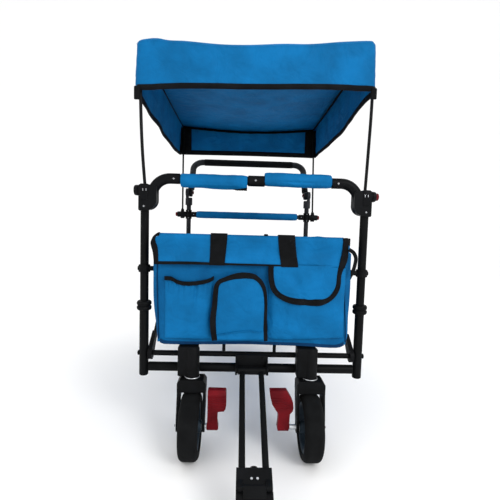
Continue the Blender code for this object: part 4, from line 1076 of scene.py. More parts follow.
def wheel(name, centre, body, nodes, hub_out):
    """Smooth tyre, five-spoke rim and hub washer."""
    rim = bmesh.new()
    add_turned(rim, mirrored([*rim_section(), (RIM_R, 0.0180)]), centre, (1, 0, 0), 72, looped=True)
    piece(
        f"{name}_spoked_rim", cut(rim, window_tools(centre)), RIM, body, nodes[:1], bevel=0.0006,
        angle=40,
    )
    turned(
        f"{name}_smooth_tyre", mirrored(tyre_section()), centre, (1, 0, 0), RUBBER, body, nodes[1:],
        sides=96, looped=True, angle=50,
    )
    face = Vector(centre) + Vector((hub_out * 0.0256, 0, 0))
    profile = [(0.0048, 0), (0.0100, 0), (0.0100, 0.0006), (0.0085, 0.0012), (0.0048, 0.0012)]
    start = face - Vector((hub_out * 0.0003, 0, 0))
    turned(
        f"{name}_hub_washer", profile, start, (hub_out, 0, 0), STEEL, body, sides=40, looped=True,
    )


def wheels():
    """All four wheels, the front ones on the casters."""
    for sign, side in SIDES:
        centre = (sign * FRONT_STEM[0], FRONT_AXLE_Y, WHEEL_R)
        nodes = [f"front_wheel_{side}_rim", f"front_wheel_{side}_tyre"]
        wheel(f"front_{side}", centre, f"front_wheel_{side}", nodes, -sign)
        centre = (sign * REAR_WHEEL_X, REAR_AXLE_Y, WHEEL_R)
        wheel(f"rear_{side}", centre, f"rear_wheel_{side}", [f"rear_wheel_{side}"], sign)


def stem_rings():
    """Bright bearing rings between each caster's housing and crown."""
    for sign, side in SIDES:
        profile = [
            (0.0166, 0), (0.0176, 0.0002), (0.0180, 0.0010), (0.0176, 0.0020), (0.0166, 0.0022),
        ]
        turned(
            f"caster_bearing_ring_{side}", profile, (sign * FRONT_STEM[0], FRONT_STEM[1], 0.1868),
            (0, 0, 1), STEEL, "front_frame", looped=True,
        )


def caster_fork(sign, side):
    """Swivel fork: crown with cut corners, slotted legs, stem and axle."""
    x, stem_y = sign * FRONT_STEM[0], FRONT_STEM[1]
    crown, stem, axle = bmesh.new(), bmesh.new(), bmesh.new()
    half, chamfer, top, low = 0.0335, 0.0060, 0.1858, 0.1562
    outline = [(x - half, low), (x + half, low), (x + half, top - 0.008), (x + half - chamfer, top)]
    outline += [(x - half + chamfer, top), (x - half, top - 0.008)]
    add_plate(crown, outline, (-0.0560, -0.0140), "Y")
    add_rod(stem, (x, stem_y, 0.180), (x, stem_y, 0.2340), 0.006, 28)
    inboard = 0.0560
    add_rod(
        axle, (x + sign * 0.0345, FRONT_AXLE_Y, WHEEL_R),
        (x - sign * inboard, FRONT_AXLE_Y, WHEEL_R), 0.004, 28,
    )
    shapes = [stem, axle]
    for way in (-1, 1):
        leg = bmesh.new()
        outline = [
            (-0.0145, 0.1580), (-0.0145, 0.1760), (-0.0550, 0.1760), (-0.0575, 0.1500),
            (-0.0672, 0.1000),
        ]
        outline += arc((FRONT_AXLE_Y, WHEEL_R), 0.0138, 178, 368, 14)
        slope = math.degrees(math.atan2(0.034, 0.009))
        slot = arc((-0.044, 0.142), 0.0055, slope - 90, slope + 90, 8)
        slot += arc((-0.053, 0.108), 0.0055, slope + 90, slope + 270, 8)
        levels = sorted((x + way * 0.0275, x + way * 0.0332))
        add_plate(leg, outline, levels, "X", [slot])
        shapes.append(leg)
    bm = merged(crown, *shapes)
    piece(
        f"slotted_fork_{side}", bm, NYLON, f"caster_{side}", [f"caster_fork_{side}"], bevel=0.0014,
        angle=40,
    )


def casters():
    """Brackets, swivel forks, axle nuts and screws, and the fixed rear forks."""
    for sign, side in SIDES:
        refined(f"caster_bracket_{side}", NYLON, "front_frame", 0.0009)
        caster_fork(sign, side)
        refined(f"rear_fork_{side}", NYLON, "rear_frame", 0.0011)
        x = sign * FRONT_STEM[0]
        screws(
            f"caster_axle_nut_{side}", [((x + sign * 0.0344, FRONT_AXLE_Y, WHEEL_R), (sign, 0, 0))],
            f"caster_{side}", 0.0062, 0.0030, NYLON,
        )
        length = 0.0062 if sign < 0 else 0.0160
        profile = [(0.0042, 0), (0.0056, 0), (0.0056, length), (0.0042, length)]
        turned(
            f"caster_axle_spacer_{side}", profile, (x - sign * 0.0330, FRONT_AXLE_Y, WHEEL_R),
            (-sign, 0, 0), STEEL, f"caster_{side}", sides=28, looped=True,
        )
        places = [(x - 0.0010 + dx, -0.0458, z) for dx in (-0.008, 0.006) for z in (0.2010, 0.2190)]
        spots = [(place, (0, -1, 0)) for place in places]
        screws(f"bracket_screws_{side}", spots, "front_frame", 0.0022, 0.0009)
    stem_rings()


def pedal_outline(sign):
    """Front view of a pedal as (inboard distance from the stem, height): pad above, shank below."""
    if sign < 0:
        return [
            (0.0392, 0.0706), (0.0628, 0.0704), (0.0652, 0.0730), (0.0650, 0.0780),
            (0.0628, 0.0900), (0.0630, 0.1140), (0.0650, 0.1165), (0.0770, 0.1176),
            (0.0812, 0.1230), (0.0830, 0.1350), (0.0826, 0.1670), (0.0806, 0.1692),
            (0.0420, 0.1698), (0.0401, 0.1680), (0.0398, 0.1200), (0.0392, 0.0900),
            (0.0376, 0.0800), (0.0378, 0.0730),
        ]
    return [
        (0.0522, 0.0708), (0.0771, 0.0710), (0.0789, 0.0774), (0.0774, 0.0900), (0.0771, 0.1121),
        (0.0850, 0.1250), (0.0928, 0.1387), (0.0975, 0.1560), (0.0992, 0.1690), (0.0985, 0.1704),
        (0.0610, 0.1710), (0.0593, 0.1700), (0.0514, 0.1571), (0.0448, 0.1445), (0.0425, 0.1292),
        (0.0440, 0.1200), (0.0499, 0.1125), (0.0503, 0.0900), (0.0499, 0.0778),
    ]


def pedals():
    """Brake pedals: a slanted pad with fine ridges on a short shank."""
    for sign, side in SIDES:
        x = sign * FRONT_STEM[0]
        outline = [(x - sign * inboard, z) for inboard, z in pedal_outline(sign)]
        blade = bmesh.new()
        add_plate(blade, outline, (-0.0675, -0.0460), "Y")
        bmesh.ops.bisect_plane(
            blade, geom=blade.verts[:] + blade.edges[:] + blade.faces[:], plane_co=(0, 0, 0.160),
            plane_no=(0, 0, 1),
        )
        for vert in blade.verts:
            lean = smoothstep((vert.co.z - 0.110) / 0.060)
            brow = 0.006 * smoothstep((vert.co.z - 0.160) / 0.008)
            vert.co.y += brow - 0.010 * lean if vert.co.y < -0.055 else -0.008 * lean
            narrow = 1 - smoothstep((vert.co.z - 0.100) / 0.020)
            vert.co.y += 0.0035 * narrow if vert.co.y < -0.06 else 0
        eye = bmesh.new()
        inner, outer = (0.0388, 0.0640) if sign < 0 else (0.0508, 0.0765)
        ends = [(x - sign * reach, FRONT_AXLE_Y, WHEEL_R) for reach in (inner, outer)]
        add_rod(eye, *ends, 0.0064, 40)
        ribs = []
        for index in range(5):
            z = 0.1270 + index * 0.0066
            y = -0.0674 - 0.010 * smoothstep((z - 0.110) / 0.060)
            left, right = 0.0435, 0.0790
            if sign > 0:
                left, right = 0.0500 + index * 0.0016, 0.0830 + index * 0.0024
            rib = bmesh.new()
            add_rod(rib, (x - sign * left, y, z), (x - sign * right, y, z), 0.0012, 12, 0.0004)
            ribs.append(rib)
        bm = merged(blade, eye, *ribs)
        piece(
            f"ribbed_pedal_{side}", bm, RED, f"brake_{side}", [f"brake_pedal_{side}"], bevel=0.0014,
            angle=40,
        )


# Front handle


def pole_button(end, side, tip, sign, length):
    """A round-edged push button that locks a canopy pole in its socket."""
    profile = [
        (0, 0), (0.0060, 0), (0.0080, 0.0010), (0.0090, 0.0028), (0.0090, length), (0, length),
    ]
    body = f"{end}_pole_button_{side}"
    turned(
        f"{end}_button_cap_{side}", profile, tip, (-sign, 0, 0), BUTTON_RED, body, [body], sides=40,
    )


def elbows():
    """Moulded corners of the front handle, with pole sockets, buttons and screws."""
    left, right, low, high = CASTING
    for sign, side in SIDES:
        casting, bend, socket, mouth, bore, seat = (bmesh.new() for _ in range(6))
        outline = arc((right - 0.004, low + 0.004), 0.004, -90, 0, 5)
        outline += arc((right - 0.004, high - 0.004), 0.004, 0, 90, 5)
        outline += [(left + 0.006, high)]
        outline += arc((left + 0.004, high - 0.006), 0.004, 100, 180, 4)
        outline += arc((left + LOBE_R, low + LOBE_R + 0.002), LOBE_R, 180, 262, 16)
        outline = [(sign * x, z) for x, z in outline]
        add_plate(casting, outline, (-CASTING_HALF_DEPTH, CASTING_HALF_DEPTH), "Y")
        points = [
            (sign * ELBOW_X, 0, 0.602), (sign * ELBOW_X, 0, BAR_Z), (sign * ELBOW_END, 0, BAR_Z),
        ]
        add_sweep(bend, filleted(points, ELBOW_BEND, 20), ELBOW_R, (0, 1, 0), 40)
        groove = SOCKET_R - 0.0018
        profile = [
            (0, 0), (SOCKET_R - 0.0006, 0), (SOCKET_R, 0.0010), (SOCKET_R, 0.0276),
            (groove, 0.0280),
        ]
        profile += [
            (groove, 0.0294), (SOCKET_R, 0.0299), (SOCKET_R, 0.0345), (SOCKET_R - 0.0007, 0.0370),
        ]
        profile += [(SOCKET_R - 0.0022, 0.0385), (0, 0.0385)]
        add_turned(socket, profile, (sign * 0.250, 0, FRONT_SOCKET_Z), (sign, 0, 0), 48)
        add_slab(
            mouth, span(sign, 0.2535, 0.2730), (-0.0175, 0.0175), (0.6020, high + 0.002), 0.0030,
        )
        foot, above = front_pole_path(sign)[:2]
        along = (Vector(above) - Vector(foot)).normalized()
        add_rod(bore, Vector(foot) - along * 0.004, Vector(foot) + along * 0.050, 0.0066, 24)
        add_rod(
            seat, (sign * 0.2780, 0, FRONT_SOCKET_Z), (sign * 0.2920, 0, FRONT_SOCKET_Z), 0.0098,
            36,
        )
        bm = cut(merged(casting, bend, socket, mouth), bore, seat)
        piece(
            f"moulded_elbow_{side}", bm, CASTING_NYLON, "front_frame", [f"handle_elbow_{side}"],
            bevel=0.0016, angle=42,
        )
        clips = bmesh.new()
        for offset in (-0.0034, 0.0040):
            x = sign * FRONT_POLE_FOOT[0] + offset
            add_slab(clips, (x - 0.0006, x + 0.0006), (-0.0180, -0.0172), (0.6235, 0.6290), 0.0003)
        piece(f"pole_clip_{side}", clips, STEEL, "front_frame")
        proud, length = (0.0012, 0.0068) if sign < 0 else (0.0072, 0.0120)
        tip = (sign * (FRONT_SOCKET_END + proud), 0, FRONT_SOCKET_Z)
        pole_button("front", side, tip, sign, length)
    spots = []
    for x, front, z in ((0.1945, ELBOW_R, BAR_Z - 0.0010), (0.2630, CASTING_HALF_DEPTH, 0.5880)):
        spots += [((sign * x, 0.0002 - front, z), (0, -1, 0)) for sign, _ in SIDES]
    screws("handle_screws", spots, "front_frame", 0.0048, 0.0013)


def grip_mesh(sign):
    """Fabric sleeve with foam inside: swollen, creased, its edges lapped below the tube."""
    start, end = GRIP_SPAN
    start -= 0.0028 if sign > 0 else 0.0
    around, along = 44, 50
    bm = bmesh.new()
    rings = []
    seed = 3 if sign < 0 else 8
    for i in range(along + 1):
        part = i / along
        x = sign * (start + (end - start) * part)
        close = min(part, 1 - part)
        swell = 0.0146 + 0.0014 * smoothstep(close / 0.06)
        middle = BAR_Z - 0.0030 if sign < 0 else BAR_Z + 0.0055 - 0.0016 * part
        ring = []
        for k in range(around):
            turn = 2 * math.pi * k / around
            down = max(0.0, -math.sin(turn))
            place = (x, math.cos(turn) * 0.016, math.sin(turn) * 0.016)
            radius = swell + 0.0010 * wrinkle(place, 34, seed, (1, 1.6, 1.6))
            radius += 0.0006 * wrinkle(place, 90, seed + 2, (1, 1.4, 1.4))
            fin = math.exp(-((turn - 1.5 * math.pi) / 0.22) ** 2)
            if sign > 0:
                droop = 0.0006
            else:
                droop = -0.0050 + 0.0078 * smoothstep((part - 0.01) / 0.16)
                droop -= 0.0024 * smoothstep((part - 0.35) / 0.4)
            radius += fin * droop + 0.0006 * down
            crease = math.exp(-((part - 0.55) / 0.30) ** 2)
            crease *= math.exp(-((turn - 1.13 * math.pi) / 0.13) ** 2)
            radius -= 0.0026 * crease if sign > 0 else 0.0008 * crease
            ring.append(
                bm.verts.new((x, math.cos(turn) * radius, middle + math.sin(turn) * radius)),
            )
        rings.append(ring)
    inner = []
    for i in (along, 0):
        x = sign * (start + (end - start) * i / along)
        turns = [2 * math.pi * k / around for k in range(around)]
        inner.append(
            [bm.verts.new((x, math.cos(t) * 0.0104, BAR_Z + math.sin(t) * 0.0104)) for t in turns],
        )
    add_rings(bm, rings + inner, looped=True)
    return bm


def handle_bar():
    """Cross tube with its middle connector, and the fabric sleeves on it."""
    profile = mirrored([(0.0086, -0.2105), (0.010, -0.2105)])
    bar = ((0, 0, BAR_Z), (1, 0, 0))
    turned("handle_cross_tube", profile, *bar, PAINT, "front_frame", ["handle_bar"], looped=True)
    profile = [
        (0.0101, -0.0200), (0.0118, -0.0200), (0.0127, -0.0188), (0.0128, -0.0150),
        (0.0128, 0.0150),
    ]
    profile += [(0.0127, 0.0188), (0.0118, 0.0200), (0.0101, 0.0200)]
    turned("handle_middle_connector", profile, *bar, NYLON, "front_frame", looped=True)
    screws(
        "connector_screw", [((-0.0020, -0.0127, BAR_Z + 0.0005), (0, -1, 0))], "front_frame",
        0.0050, 0.0013,
    )
    for sign, side in SIDES:
        name, nodes = f"sewn_grip_{side}", [f"handle_grip_{side}"]
        grip = piece(name, grip_mesh(sign), CLOTH, "front_frame", nodes, angle=60, subdivide=1)
    hook = bmesh.new()
    rows = []
    for i in range(25):
        part = i / 24
        x = -(GRIP_SPAN[0] + 0.0004 + 0.044 * part)
        ragged = 0.0016 * wrinkle((x, 0, 0), 260, 14)
        low = BAR_Z - 0.0236 + 0.0075 * smoothstep((part - 0.55) / 0.45) + ragged
        rise = BAR_Z - 0.0090 - low
        rows.append([(x, 0.0010 * v - 0.0040, low + rise * v) for v in (0, 0.33, 0.66, 1.0)])
    add_grid(hook, rows)
    piece("grip_hook_tape", hook, WEBBING, "front_frame", thickness=0.0010)


def padded_sleeve(start, end, y, z, radius, bore, seed):
    """Fabric sleeve over a bar: closed ends, an uneven surface."""
    around, along = 36, 60
    bm = bmesh.new()
    rings = []
    turns = [2 * math.pi * k / around for k in range(around)]
    for i in range(along + 1):
        x = start + (end - start) * i / along
        swell = radius - 0.0012 * (1 - smoothstep(min(i, along - i) / 2))
        ring = []
        for t in turns:
            here = swell + 0.0006 * wrinkle((x, math.cos(t) * 0.014, math.sin(t) * 0.014), 45, seed)
            ring.append(bm.verts.new((x, y + math.cos(t) * here, z + math.sin(t) * here)))
        rings.append(ring)
    for x in (end, start):
        rings.append(
            [bm.verts.new((x, y + math.cos(t) * bore, z + math.sin(t) * bore)) for t in turns],
        )
    add_rings(bm, rings, looped=True)
    return bm


# Rear bar and push handle


def rear_bar():
    """Upper rear bar, its post clamps, pole sockets, padded sleeve and buttons."""
    bar = bmesh.new()
    add_rod(bar, (-0.2400, DEPTH, REAR_SOCKET_Z), (0.2400, DEPTH, REAR_SOCKET_Z), 0.009, 40)
    piece("rear_cross_bar", bar, REAR_PAINT, "rear_frame", ["rear_bar"])
    spots = []
    for sign, side in SIDES:
        socket, cup, bore = (bmesh.new() for _ in range(3))
        centre = (sign * POST_X, DEPTH, REAR_SOCKET_Z)
        profile = [
            (0.0104, -0.020), (0.0124, -0.020), (0.0134, -0.0188), (0.0134, -0.0130),
            (0.0127, -0.0115),
        ]
        profile += [
            (0.0127, 0.0115), (0.0134, 0.0130), (0.0134, 0.0188), (0.0124, 0.020), (0.0104, 0.020),
        ]
        turned(
            f"rear_post_clamp_{side}", profile, centre, (0, 0, 1), NYLON, "rear_frame", looped=True,
        )
        profile = [(0, 0), (0.0108, 0), (0.0120, 0.0012), (0.0120, 0.0232), (0, 0.0244)]
        centre = (sign * 0.2290, DEPTH, REAR_SOCKET_Z)
        turned(f"rear_bar_end_{side}", profile, centre, (sign, 0, 0), NYLON, "rear_frame", sides=40)
        length = REAR_SOCKET_END - 0.2746
        profile = [
            (0, 0), (0.0110, 0), (0.0122, 0.0012), (0.0122, length - 0.0050),
            (0.0116, length - 0.0018),
        ]
        profile += [
            (0.0104, length), (0.0096, length), (0.0096, length - 0.0098), (0, length - 0.0098),
        ]
        add_turned(socket, profile, (sign * 0.2746, DEPTH, REAR_SOCKET_Z), (sign, 0, 0), 40)
        x = sign * rear_pole_x(sign, 0)
        profile = [
            (0, -0.018), (0.0084, -0.018), (0.0094, -0.012), (0.0090, 0.004), (0.0078, 0.0160),
            (0.0062, 0.0242),
        ]
        add_turned(cup, profile + [(0, 0.0242)], (x, DEPTH, REAR_SOCKET_Z), (0, 0, 1), 36)
        add_rod(
            bore, (x, DEPTH, REAR_POLE_FOOT - 0.001), (x, DEPTH, REAR_SOCKET_Z + 0.03), 0.0052, 28,
        )
        piece(
            f"rear_pole_socket_{side}", cut(merged(socket, cup), bore), NYLON, "rear_frame",
            angle=40,
        )
        pole_button(
            "rear", side, (sign * (REAR_SOCKET_END + 0.0072), DEPTH, REAR_SOCKET_Z), sign, 0.0125,
        )
        for rise in (-0.0150, 0.0150):
            spots.append(((sign * POST_X, DEPTH - 0.0132, REAR_SOCKET_Z + rise), (0, -1, 0)))
        spots.append(((sign * 0.2410, DEPTH - 0.0119, REAR_SOCKET_Z), (0, -1, 0)))
    screws("rear_bar_screws", spots, "rear_frame", 0.0034, 0.0012)
    sleeve = padded_sleeve(-0.2300, 0.2220, DEPTH, REAR_SOCKET_Z, 0.0156, 0.0093, 5)
    padding = piece(
        "rear_bar_padding", sleeve, CLOTH, "rear_frame", ["rear_bar_sleeve"], angle=60, subdivide=1,
    )


def push_handle():
    """Bent rear handle with a rubber grip, its hinge discs and the lock buttons in them."""
    hinge_y, hinge_z = PUSH_HINGE
    along = Vector((0, math.sin(PUSH_LEAN), math.cos(PUSH_LEAN)))
    square = Vector((0, math.cos(PUSH_LEAN), -math.sin(PUSH_LEAN)))
    hinge = Vector((0, hinge_y, hinge_z))
    across = Vector((PUSH_X, 0, 0))
    start, top = hinge + along * 0.022, hinge + along * PUSH_LENGTH
    bend = bmesh.new()
    path = filleted([start - across, top - across, top + across, start + across], 0.045, 16)
    add_sweep(bend, path, PUSH_R, square, 40)
    piece("push_handle_tube", bend, REAR_PAINT, "push_handle", ["push_handle"])
    half = PUSH_X - 0.050
    profile = [
        (PUSH_R + 0.0001, -half), (0.0146, 0.0006 - half), (0.0152, 0.0030 - half),
        (0.0152, half - 0.0030),
    ]
    profile += [(0.0146, half - 0.0006), (PUSH_R + 0.0001, half)]
    turned("push_rubber_grip", profile, top, (1, 0, 0), GRIP_RUBBER, "push_handle", looped=True)
    for sign, side in SIDES:
        profile = [
            (0.0074, 0), (0.0150, 0), (0.0178, 0.0012), (HINGE_R, 0.0034), (HINGE_R, 0.0128),
            (0.0172, 0.0146),
        ]
        profile += [(0.0046, 0.0146), (0.0046, 0.0090), (0.0074, 0.0090)]
        turned(
            f"push_hinge_disc_{side}", profile, (sign * 0.2488, hinge_y, hinge_z), (sign, 0, 0),
            CASTING_NYLON, "push_handle", sides=56, looped=True,
        )
        profile = [(0, 0.019), (0.0134, 0.019), (0.0140, 0.0205), (0.0140, 0.031), (0, 0.031)]
        turned(
            f"push_hinge_neck_{side}", profile, hinge + sign * across, along,
            CASTING_NYLON, "push_handle", sides=40,
        )
        profile = [
            (0, 0), (0.0050, 0), (0.0064, 0.0008), (0.0070, 0.0020), (0.0070, 0.0070), (0, 0.0070),
        ]
        body = f"push_lock_{side}"
        turned(
            f"push_lock_cap_{side}", profile, (sign * 0.2430, hinge_y, hinge_z), (sign, 0, 0),
            BUTTON_RED, body, [body], sides=40,
        )


def front_pole_path(sign):
    """A front pole from its foot to its top: it bows out a little, more on the left."""
    foot_x, foot_z = FRONT_POLE_FOOT
    reaches = (0.0095, 0.0140, 0.0130) if sign < 0 else (0.0040, 0.0070, 0.0055)
    points = [(sign * foot_x, 0, foot_z)]
    for reach, z in zip(reaches, (0.725, 0.845, POLE_TOP)):
        points.append((sign * (foot_x + reach), 0, z))
    return points


def rear_pole_x(sign, rise):
    """Distance of a rear pole from the middle, at a share of its height: the right one leans in."""
    return REAR_POLE_X + (0.0005 if sign < 0 else -0.0085) * rise


# Pull handle


def pull_point(x, along, lift_by=0.0):
    """A point on the pull handle: distance from its pivot and height above its centreline."""
    y, z = PULL_PIVOT
    y -= along * math.cos(PULL_SLOPE) + lift_by * math.sin(PULL_SLOPE)
    z -= along * math.sin(PULL_SLOPE) - lift_by * math.cos(PULL_SLOPE)
    return x, y, z


def knuckle(reach, half, depth, arch=0.0):
    """A clamp block across both tubes, with cut edges; arch adds a round root between them."""
    bm = bmesh.new()
    cut_by = 0.003
    corners = [(reach[0], depth - cut_by), (reach[0], cut_by - depth), (reach[0] + cut_by, -depth)]
    corners += [(reach[1] - cut_by, -depth), (reach[1], cut_by - depth), (reach[1], depth - cut_by)]
    corners += [(reach[1] - cut_by, depth), (reach[0] + cut_by, depth)]
    outline = [pull_point(0, distance, rise)[1:] for distance, rise in corners]
    add_plate(bm, outline, (-half, half), "X")
    shapes = [bm]
    if arch:
        boss = bmesh.new()
        start = Vector(pull_point(0, reach[0] - arch, 0.0))
        profile = [(0, 0), (0.0040, 0.0006), (0.0072, 0.0024), (0.0090, 0.0060), (0.0090, 0.012)]
        add_turned(
            boss, [*profile, (0, 0.012)],
            start, Vector(pull_point(0, reach[1])) - start, 36,
        )
        shapes.append(boss)
    return shapes


def hinge_ear(levels, root_at):
    """An ear that rises from a knuckle to the pull handle's hinge pin."""
    bm = bmesh.new()
    hinge = pull_point(0, PULL_HINGE_AT, PULL_HINGE_LIFT)
    toward = 1 if root_at < PULL_HINGE_AT else -1
    slope = math.degrees(PULL_SLOPE)
    outline = arc(hinge[1:], 0.0062, 90 + slope, 90 + slope + toward * 110, 14)
    outline += [
        pull_point(0, PULL_HINGE_AT - toward * 0.0015, 0.007)[1:],
        pull_point(0, root_at, 0.007)[1:],
        pull_point(0, root_at, 0.012)[1:],
    ]
    add_plate(bm, outline, levels, "X")
    return bm


def pull_handle():
    """Bracket, upper arm, folding lower arm and cross grip."""
    y, z = PULL_PIVOT
    refined("pull_bracket", NYLON, "front_frame", 0.0012)
    shell = bmesh.new()
    outline = [
        (-0.0345, 0.1945), (0.0345, 0.1945), (0.0390, 0.2060), (0.0395, 0.2330), (0.0370, 0.2365),
    ]
    outline += [(-0.0370, 0.2365), (-0.0395, 0.2330), (-0.0390, 0.2060)]
    add_plate(shell, outline, (-0.0215, -0.0195), "Y")
    piece("pull_bracket_face", shell, NYLON, "front_frame", bevel=0.0008)
    screws(
        "pull_bracket_screws", [((x, -0.0214, 0.2290), (0, -1, 0)) for x in (-0.026, 0.026)],
        "front_frame", 0.0032, 0.0012, NYLON,
    )

    barrel = bmesh.new()
    add_turned(
        barrel, mirrored([(0.0034, -0.0340), (0.0080, -0.0340), (0.0090, -0.0330)]),
        (0, y, z), (1, 0, 0), 40, looped=True,
    )
    shapes = []
    for sign in (-1, 1):
        tube = bmesh.new()
        x = sign * PULL_TUBE_X
        add_rod(
            tube, pull_point(x, 0.004), pull_point(x, UPPER_KNUCKLE[0] + 0.030), PULL_TUBE_R, 32,
        )
        shapes.append(tube)
    blocks = knuckle(UPPER_KNUCKLE, 0.033, 0.011, 0.006)
    ears = [hinge_ear(span(sign, 0.021, 0.030), UPPER_KNUCKLE[1] - 0.016) for sign in (-1, 1)]
    pin = bmesh.new()
    hinge = pull_point(0, PULL_HINGE_AT, PULL_HINGE_LIFT)
    add_rod(pin, (-0.0300, *hinge[1:]), (0.0300, *hinge[1:]), 0.003, 24)
    bm = merged(barrel, *shapes)
    piece("pull_upper_tubes", bm, PAINT, "pull_upper", ["pull_arm_upper"])
    relief = bmesh.new()
    profile = mirrored([(0.0031, -0.0208), (0.0068, -0.0208)])
    add_turned(relief, profile, hinge, (1, 0, 0), 40, looped=True)
    bm = cut(merged(*blocks, *ears, pin), relief)
    piece("pull_upper_knuckle", bm, NYLON, "pull_upper", bevel=0.0010, angle=40)
    up = Vector(pull_point(0, 0, 1)) - Vector(pull_point(0, 0, 0))
    spots = [(pull_point(x, 0.2600, 0.0110), up) for x in (-0.0050, 0.0060)]
    spots += [(pull_point(x, 0.2600, -0.0110), -up) for x in (-0.0050, 0.0060)]
    screws("pull_upper_screws", spots, "pull_upper", 0.0026, 0.0011)

    blocks = knuckle(LOWER_KNUCKLE, 0.033, 0.011)
    blocks.append(hinge_ear((-0.0205, 0.0205), LOWER_KNUCKLE[0] + 0.016))
    bores = [bmesh.new() for _ in range(3)]
    add_rod(bores[0], (-0.0350, *hinge[1:]), (0.0350, *hinge[1:]), 0.0035, 24)
    for sign, bore in zip((-1, 1), bores[1:]):
        add_rod(bore, (sign * 0.0207, *hinge[1:]), (sign * 0.0304, *hinge[1:]), 0.0068, 40)
    piece(
        "pull_lower_knuckle", cut(merged(*blocks), *bores), NYLON, "pull_lower", ["pull_arm_lower"],
        bevel=0.0010, angle=40,
    )
    for sign, side in SIDES:
        tube = bmesh.new()
        x = sign * PULL_TUBE_X
        add_rod(
            tube, pull_point(x, LOWER_KNUCKLE[1] - 0.006), pull_point(x, PULL_GRIP_AT - 0.004),
            PULL_TUBE_R, 32,
        )
        piece(f"pull_lower_tube_{side}", tube, PAINT, "pull_lower")
    spots = [(pull_point(x, 0.3020, 0.0110), up) for x in (-0.0235, 0.0235)]
    screws("pull_lower_screws", spots, "pull_lower", 0.0036, 0.0013)

    grip_y, grip_z = pull_point(0, PULL_GRIP_AT)[1:]
    profile = [(0, 0), (0.0085, 0.0003), (0.0112, 0.0022), (0.0120, 0.0050)]
    for index in range(9):
        at = 0.014 + index * 0.0105
        profile += [(0.0120, at - 0.0012), (0.0112, at), (0.0120, at + 0.0012)]
    profile += [(0.0120, 0.1070), (0.0112, 0.1098), (0.0085, 0.1117), (0, 0.1120)]
    start = (-0.056, grip_y, grip_z)
    turned("pull_cross_grip", profile, start, (1, 0, 0), NYLON, "pull_lower", ["pull_grip"])


# Canopy


def poles():
    """Four canopy poles: the front ones bow, the rear ones are straight."""
    for sign, side in SIDES:
        front, rear = bmesh.new(), bmesh.new()
        points = [p[0::2] for p in front_pole_path(sign)]
        path = [(x, 0, z) for x, z in smooth_path(points, 24)]
        add_sweep(front, path, POLE_R, (0, 1, 0), 28)
        piece(f"front_canopy_pole_{side}", front, POLE, "canopy_front", [f"front_pole_{side}"])
        height = POLE_TOP - REAR_POLE_FOOT
        ends = [(sign * rear_pole_x(sign, s), DEPTH, REAR_POLE_FOOT + height * s) for s in (0, 1)]
        add_rod(rear, *ends, POLE_R, 28)
        piece(f"rear_canopy_pole_{side}", rear, POLE, "canopy_rear", [f"rear_pole_{side}"])


def canopy_stations():
    """Stations round the canopy, as (side, plan point, outward direction).

    The sides are numbered front, right, rear, left.
    """
    corner_r = 0.012
    corners = CANOPY_CORNERS
    counts = (60, 60, 36, 60)
    stations = []
    for index in range(4):
        start, end = Vector(corners[index]), Vector(corners[(index + 1) % 4])
        along = (end - start).normalized()
        out = Vector((along.y, -along.x))
        length = (end - start).length
        for i in range(counts[index]):
            distance = corner_r + (length - 2 * corner_r) * i / (counts[index] - 1)
            stations.append((index, start + along * distance, out))
        after = Vector(corners[(index + 2) % 4])
        next_along = (after - end).normalized()
        centre = end - along * corner_r + next_along * corner_r
        for i in range(1, 4):
            turn = math.radians(90 * i / 4)
            direction = (out * math.cos(turn) + along * math.sin(turn)).normalized()
            stations.append(
                (index if i < 3 else (index + 1) % 4, centre + direction * corner_r, direction),
            )
    return stations


def roof_z(x, y):
    """Height of the roof: its front and rear edges as seen, sagging between the poles."""
    along = max(0.0, min(1.0, (y - CANOPY_Y[0]) / (CANOPY_Y[1] - CANOPY_Y[0])))
    across = max(-1.0, min(1.0, x / CANOPY_HALF))
    hang = (1 - across * across) ** 0.8
    middle = math.sin(math.pi * along)
    z = through(ROOF_FRONT, x) * (1 - along) + through(ROOF_REAR, x) * along
    z -= (0.010 * hang + 0.004) * middle
    return z + 0.0022 * wrinkle((x, y, 0), 9, 2, (1, 0.5, 1)) * hang


def hem_z(station):
    """Height of the flaps' lower edge."""
    side, plan, _ = station
    return through(HEMS[side], plan.x if side in (0, 2) else plan.y)


def flap_point(station, part, inset=0.0):
    """A point on the flaps: part 0 under the eave, 1 at the hem; inset moves it inwards."""
    side, plan, out = station
    top = roof_z(plan.x, plan.y) - EAVE_R
    low = hem_z(station)
    z = top + (low - top) * part
    at = plan.x if side in (0, 2) else plan.y
    low_end, high_end = (-CANOPY_HALF, CANOPY_HALF) if side in (0, 2) else CANOPY_Y
    from_end = min(abs(at - low_end), abs(at - high_end))
    ends = smoothstep(from_end / 0.05)
    wave = 0.0032 if side in (0, 2) else 0.0048
    push = wave * wrinkle((plan.x, plan.y, z), 7, 4 + side, (1, 1, 2.6)) * ends
    push *= 0.35 + 0.65 * part
    push += 0.0014 * wrinkle((plan.x, plan.y, z), 24, 9, (1, 1, 3)) * ends
    pinch = math.exp(-((from_end - 0.035) / 0.030) ** 2)
    push += 0.0022 * pinch * wrinkle((plan.x, plan.y, z + 0.5 * abs(at)), 55, 17, (0.5, 0.5, 1.6))
    outward = CANOPY_FLARE * part + push - inset
    return Vector((plan.x, plan.y, z)) + Vector((out.x, out.y, 0)) * outward


def eave_point(station, angle, inset=0.0):
    """A point on the rounded edge between roof and flap; angle 0 on the roof, 90 on the flap."""
    _, plan, out = station
    radius = EAVE_R - inset
    turn = math.radians(angle)
    flat = plan - out * EAVE_R + out * (radius * math.sin(turn))
    z = roof_z(plan.x, plan.y) - EAVE_R + radius * math.cos(turn)
    return Vector((flat.x, flat.y, z))


def hem_rise(station, height):
    """Share of the flap's drop that a height above its hem takes up."""
    plan = station[1]
    return height / (roof_z(plan.x, plan.y) - EAVE_R - hem_z(station))


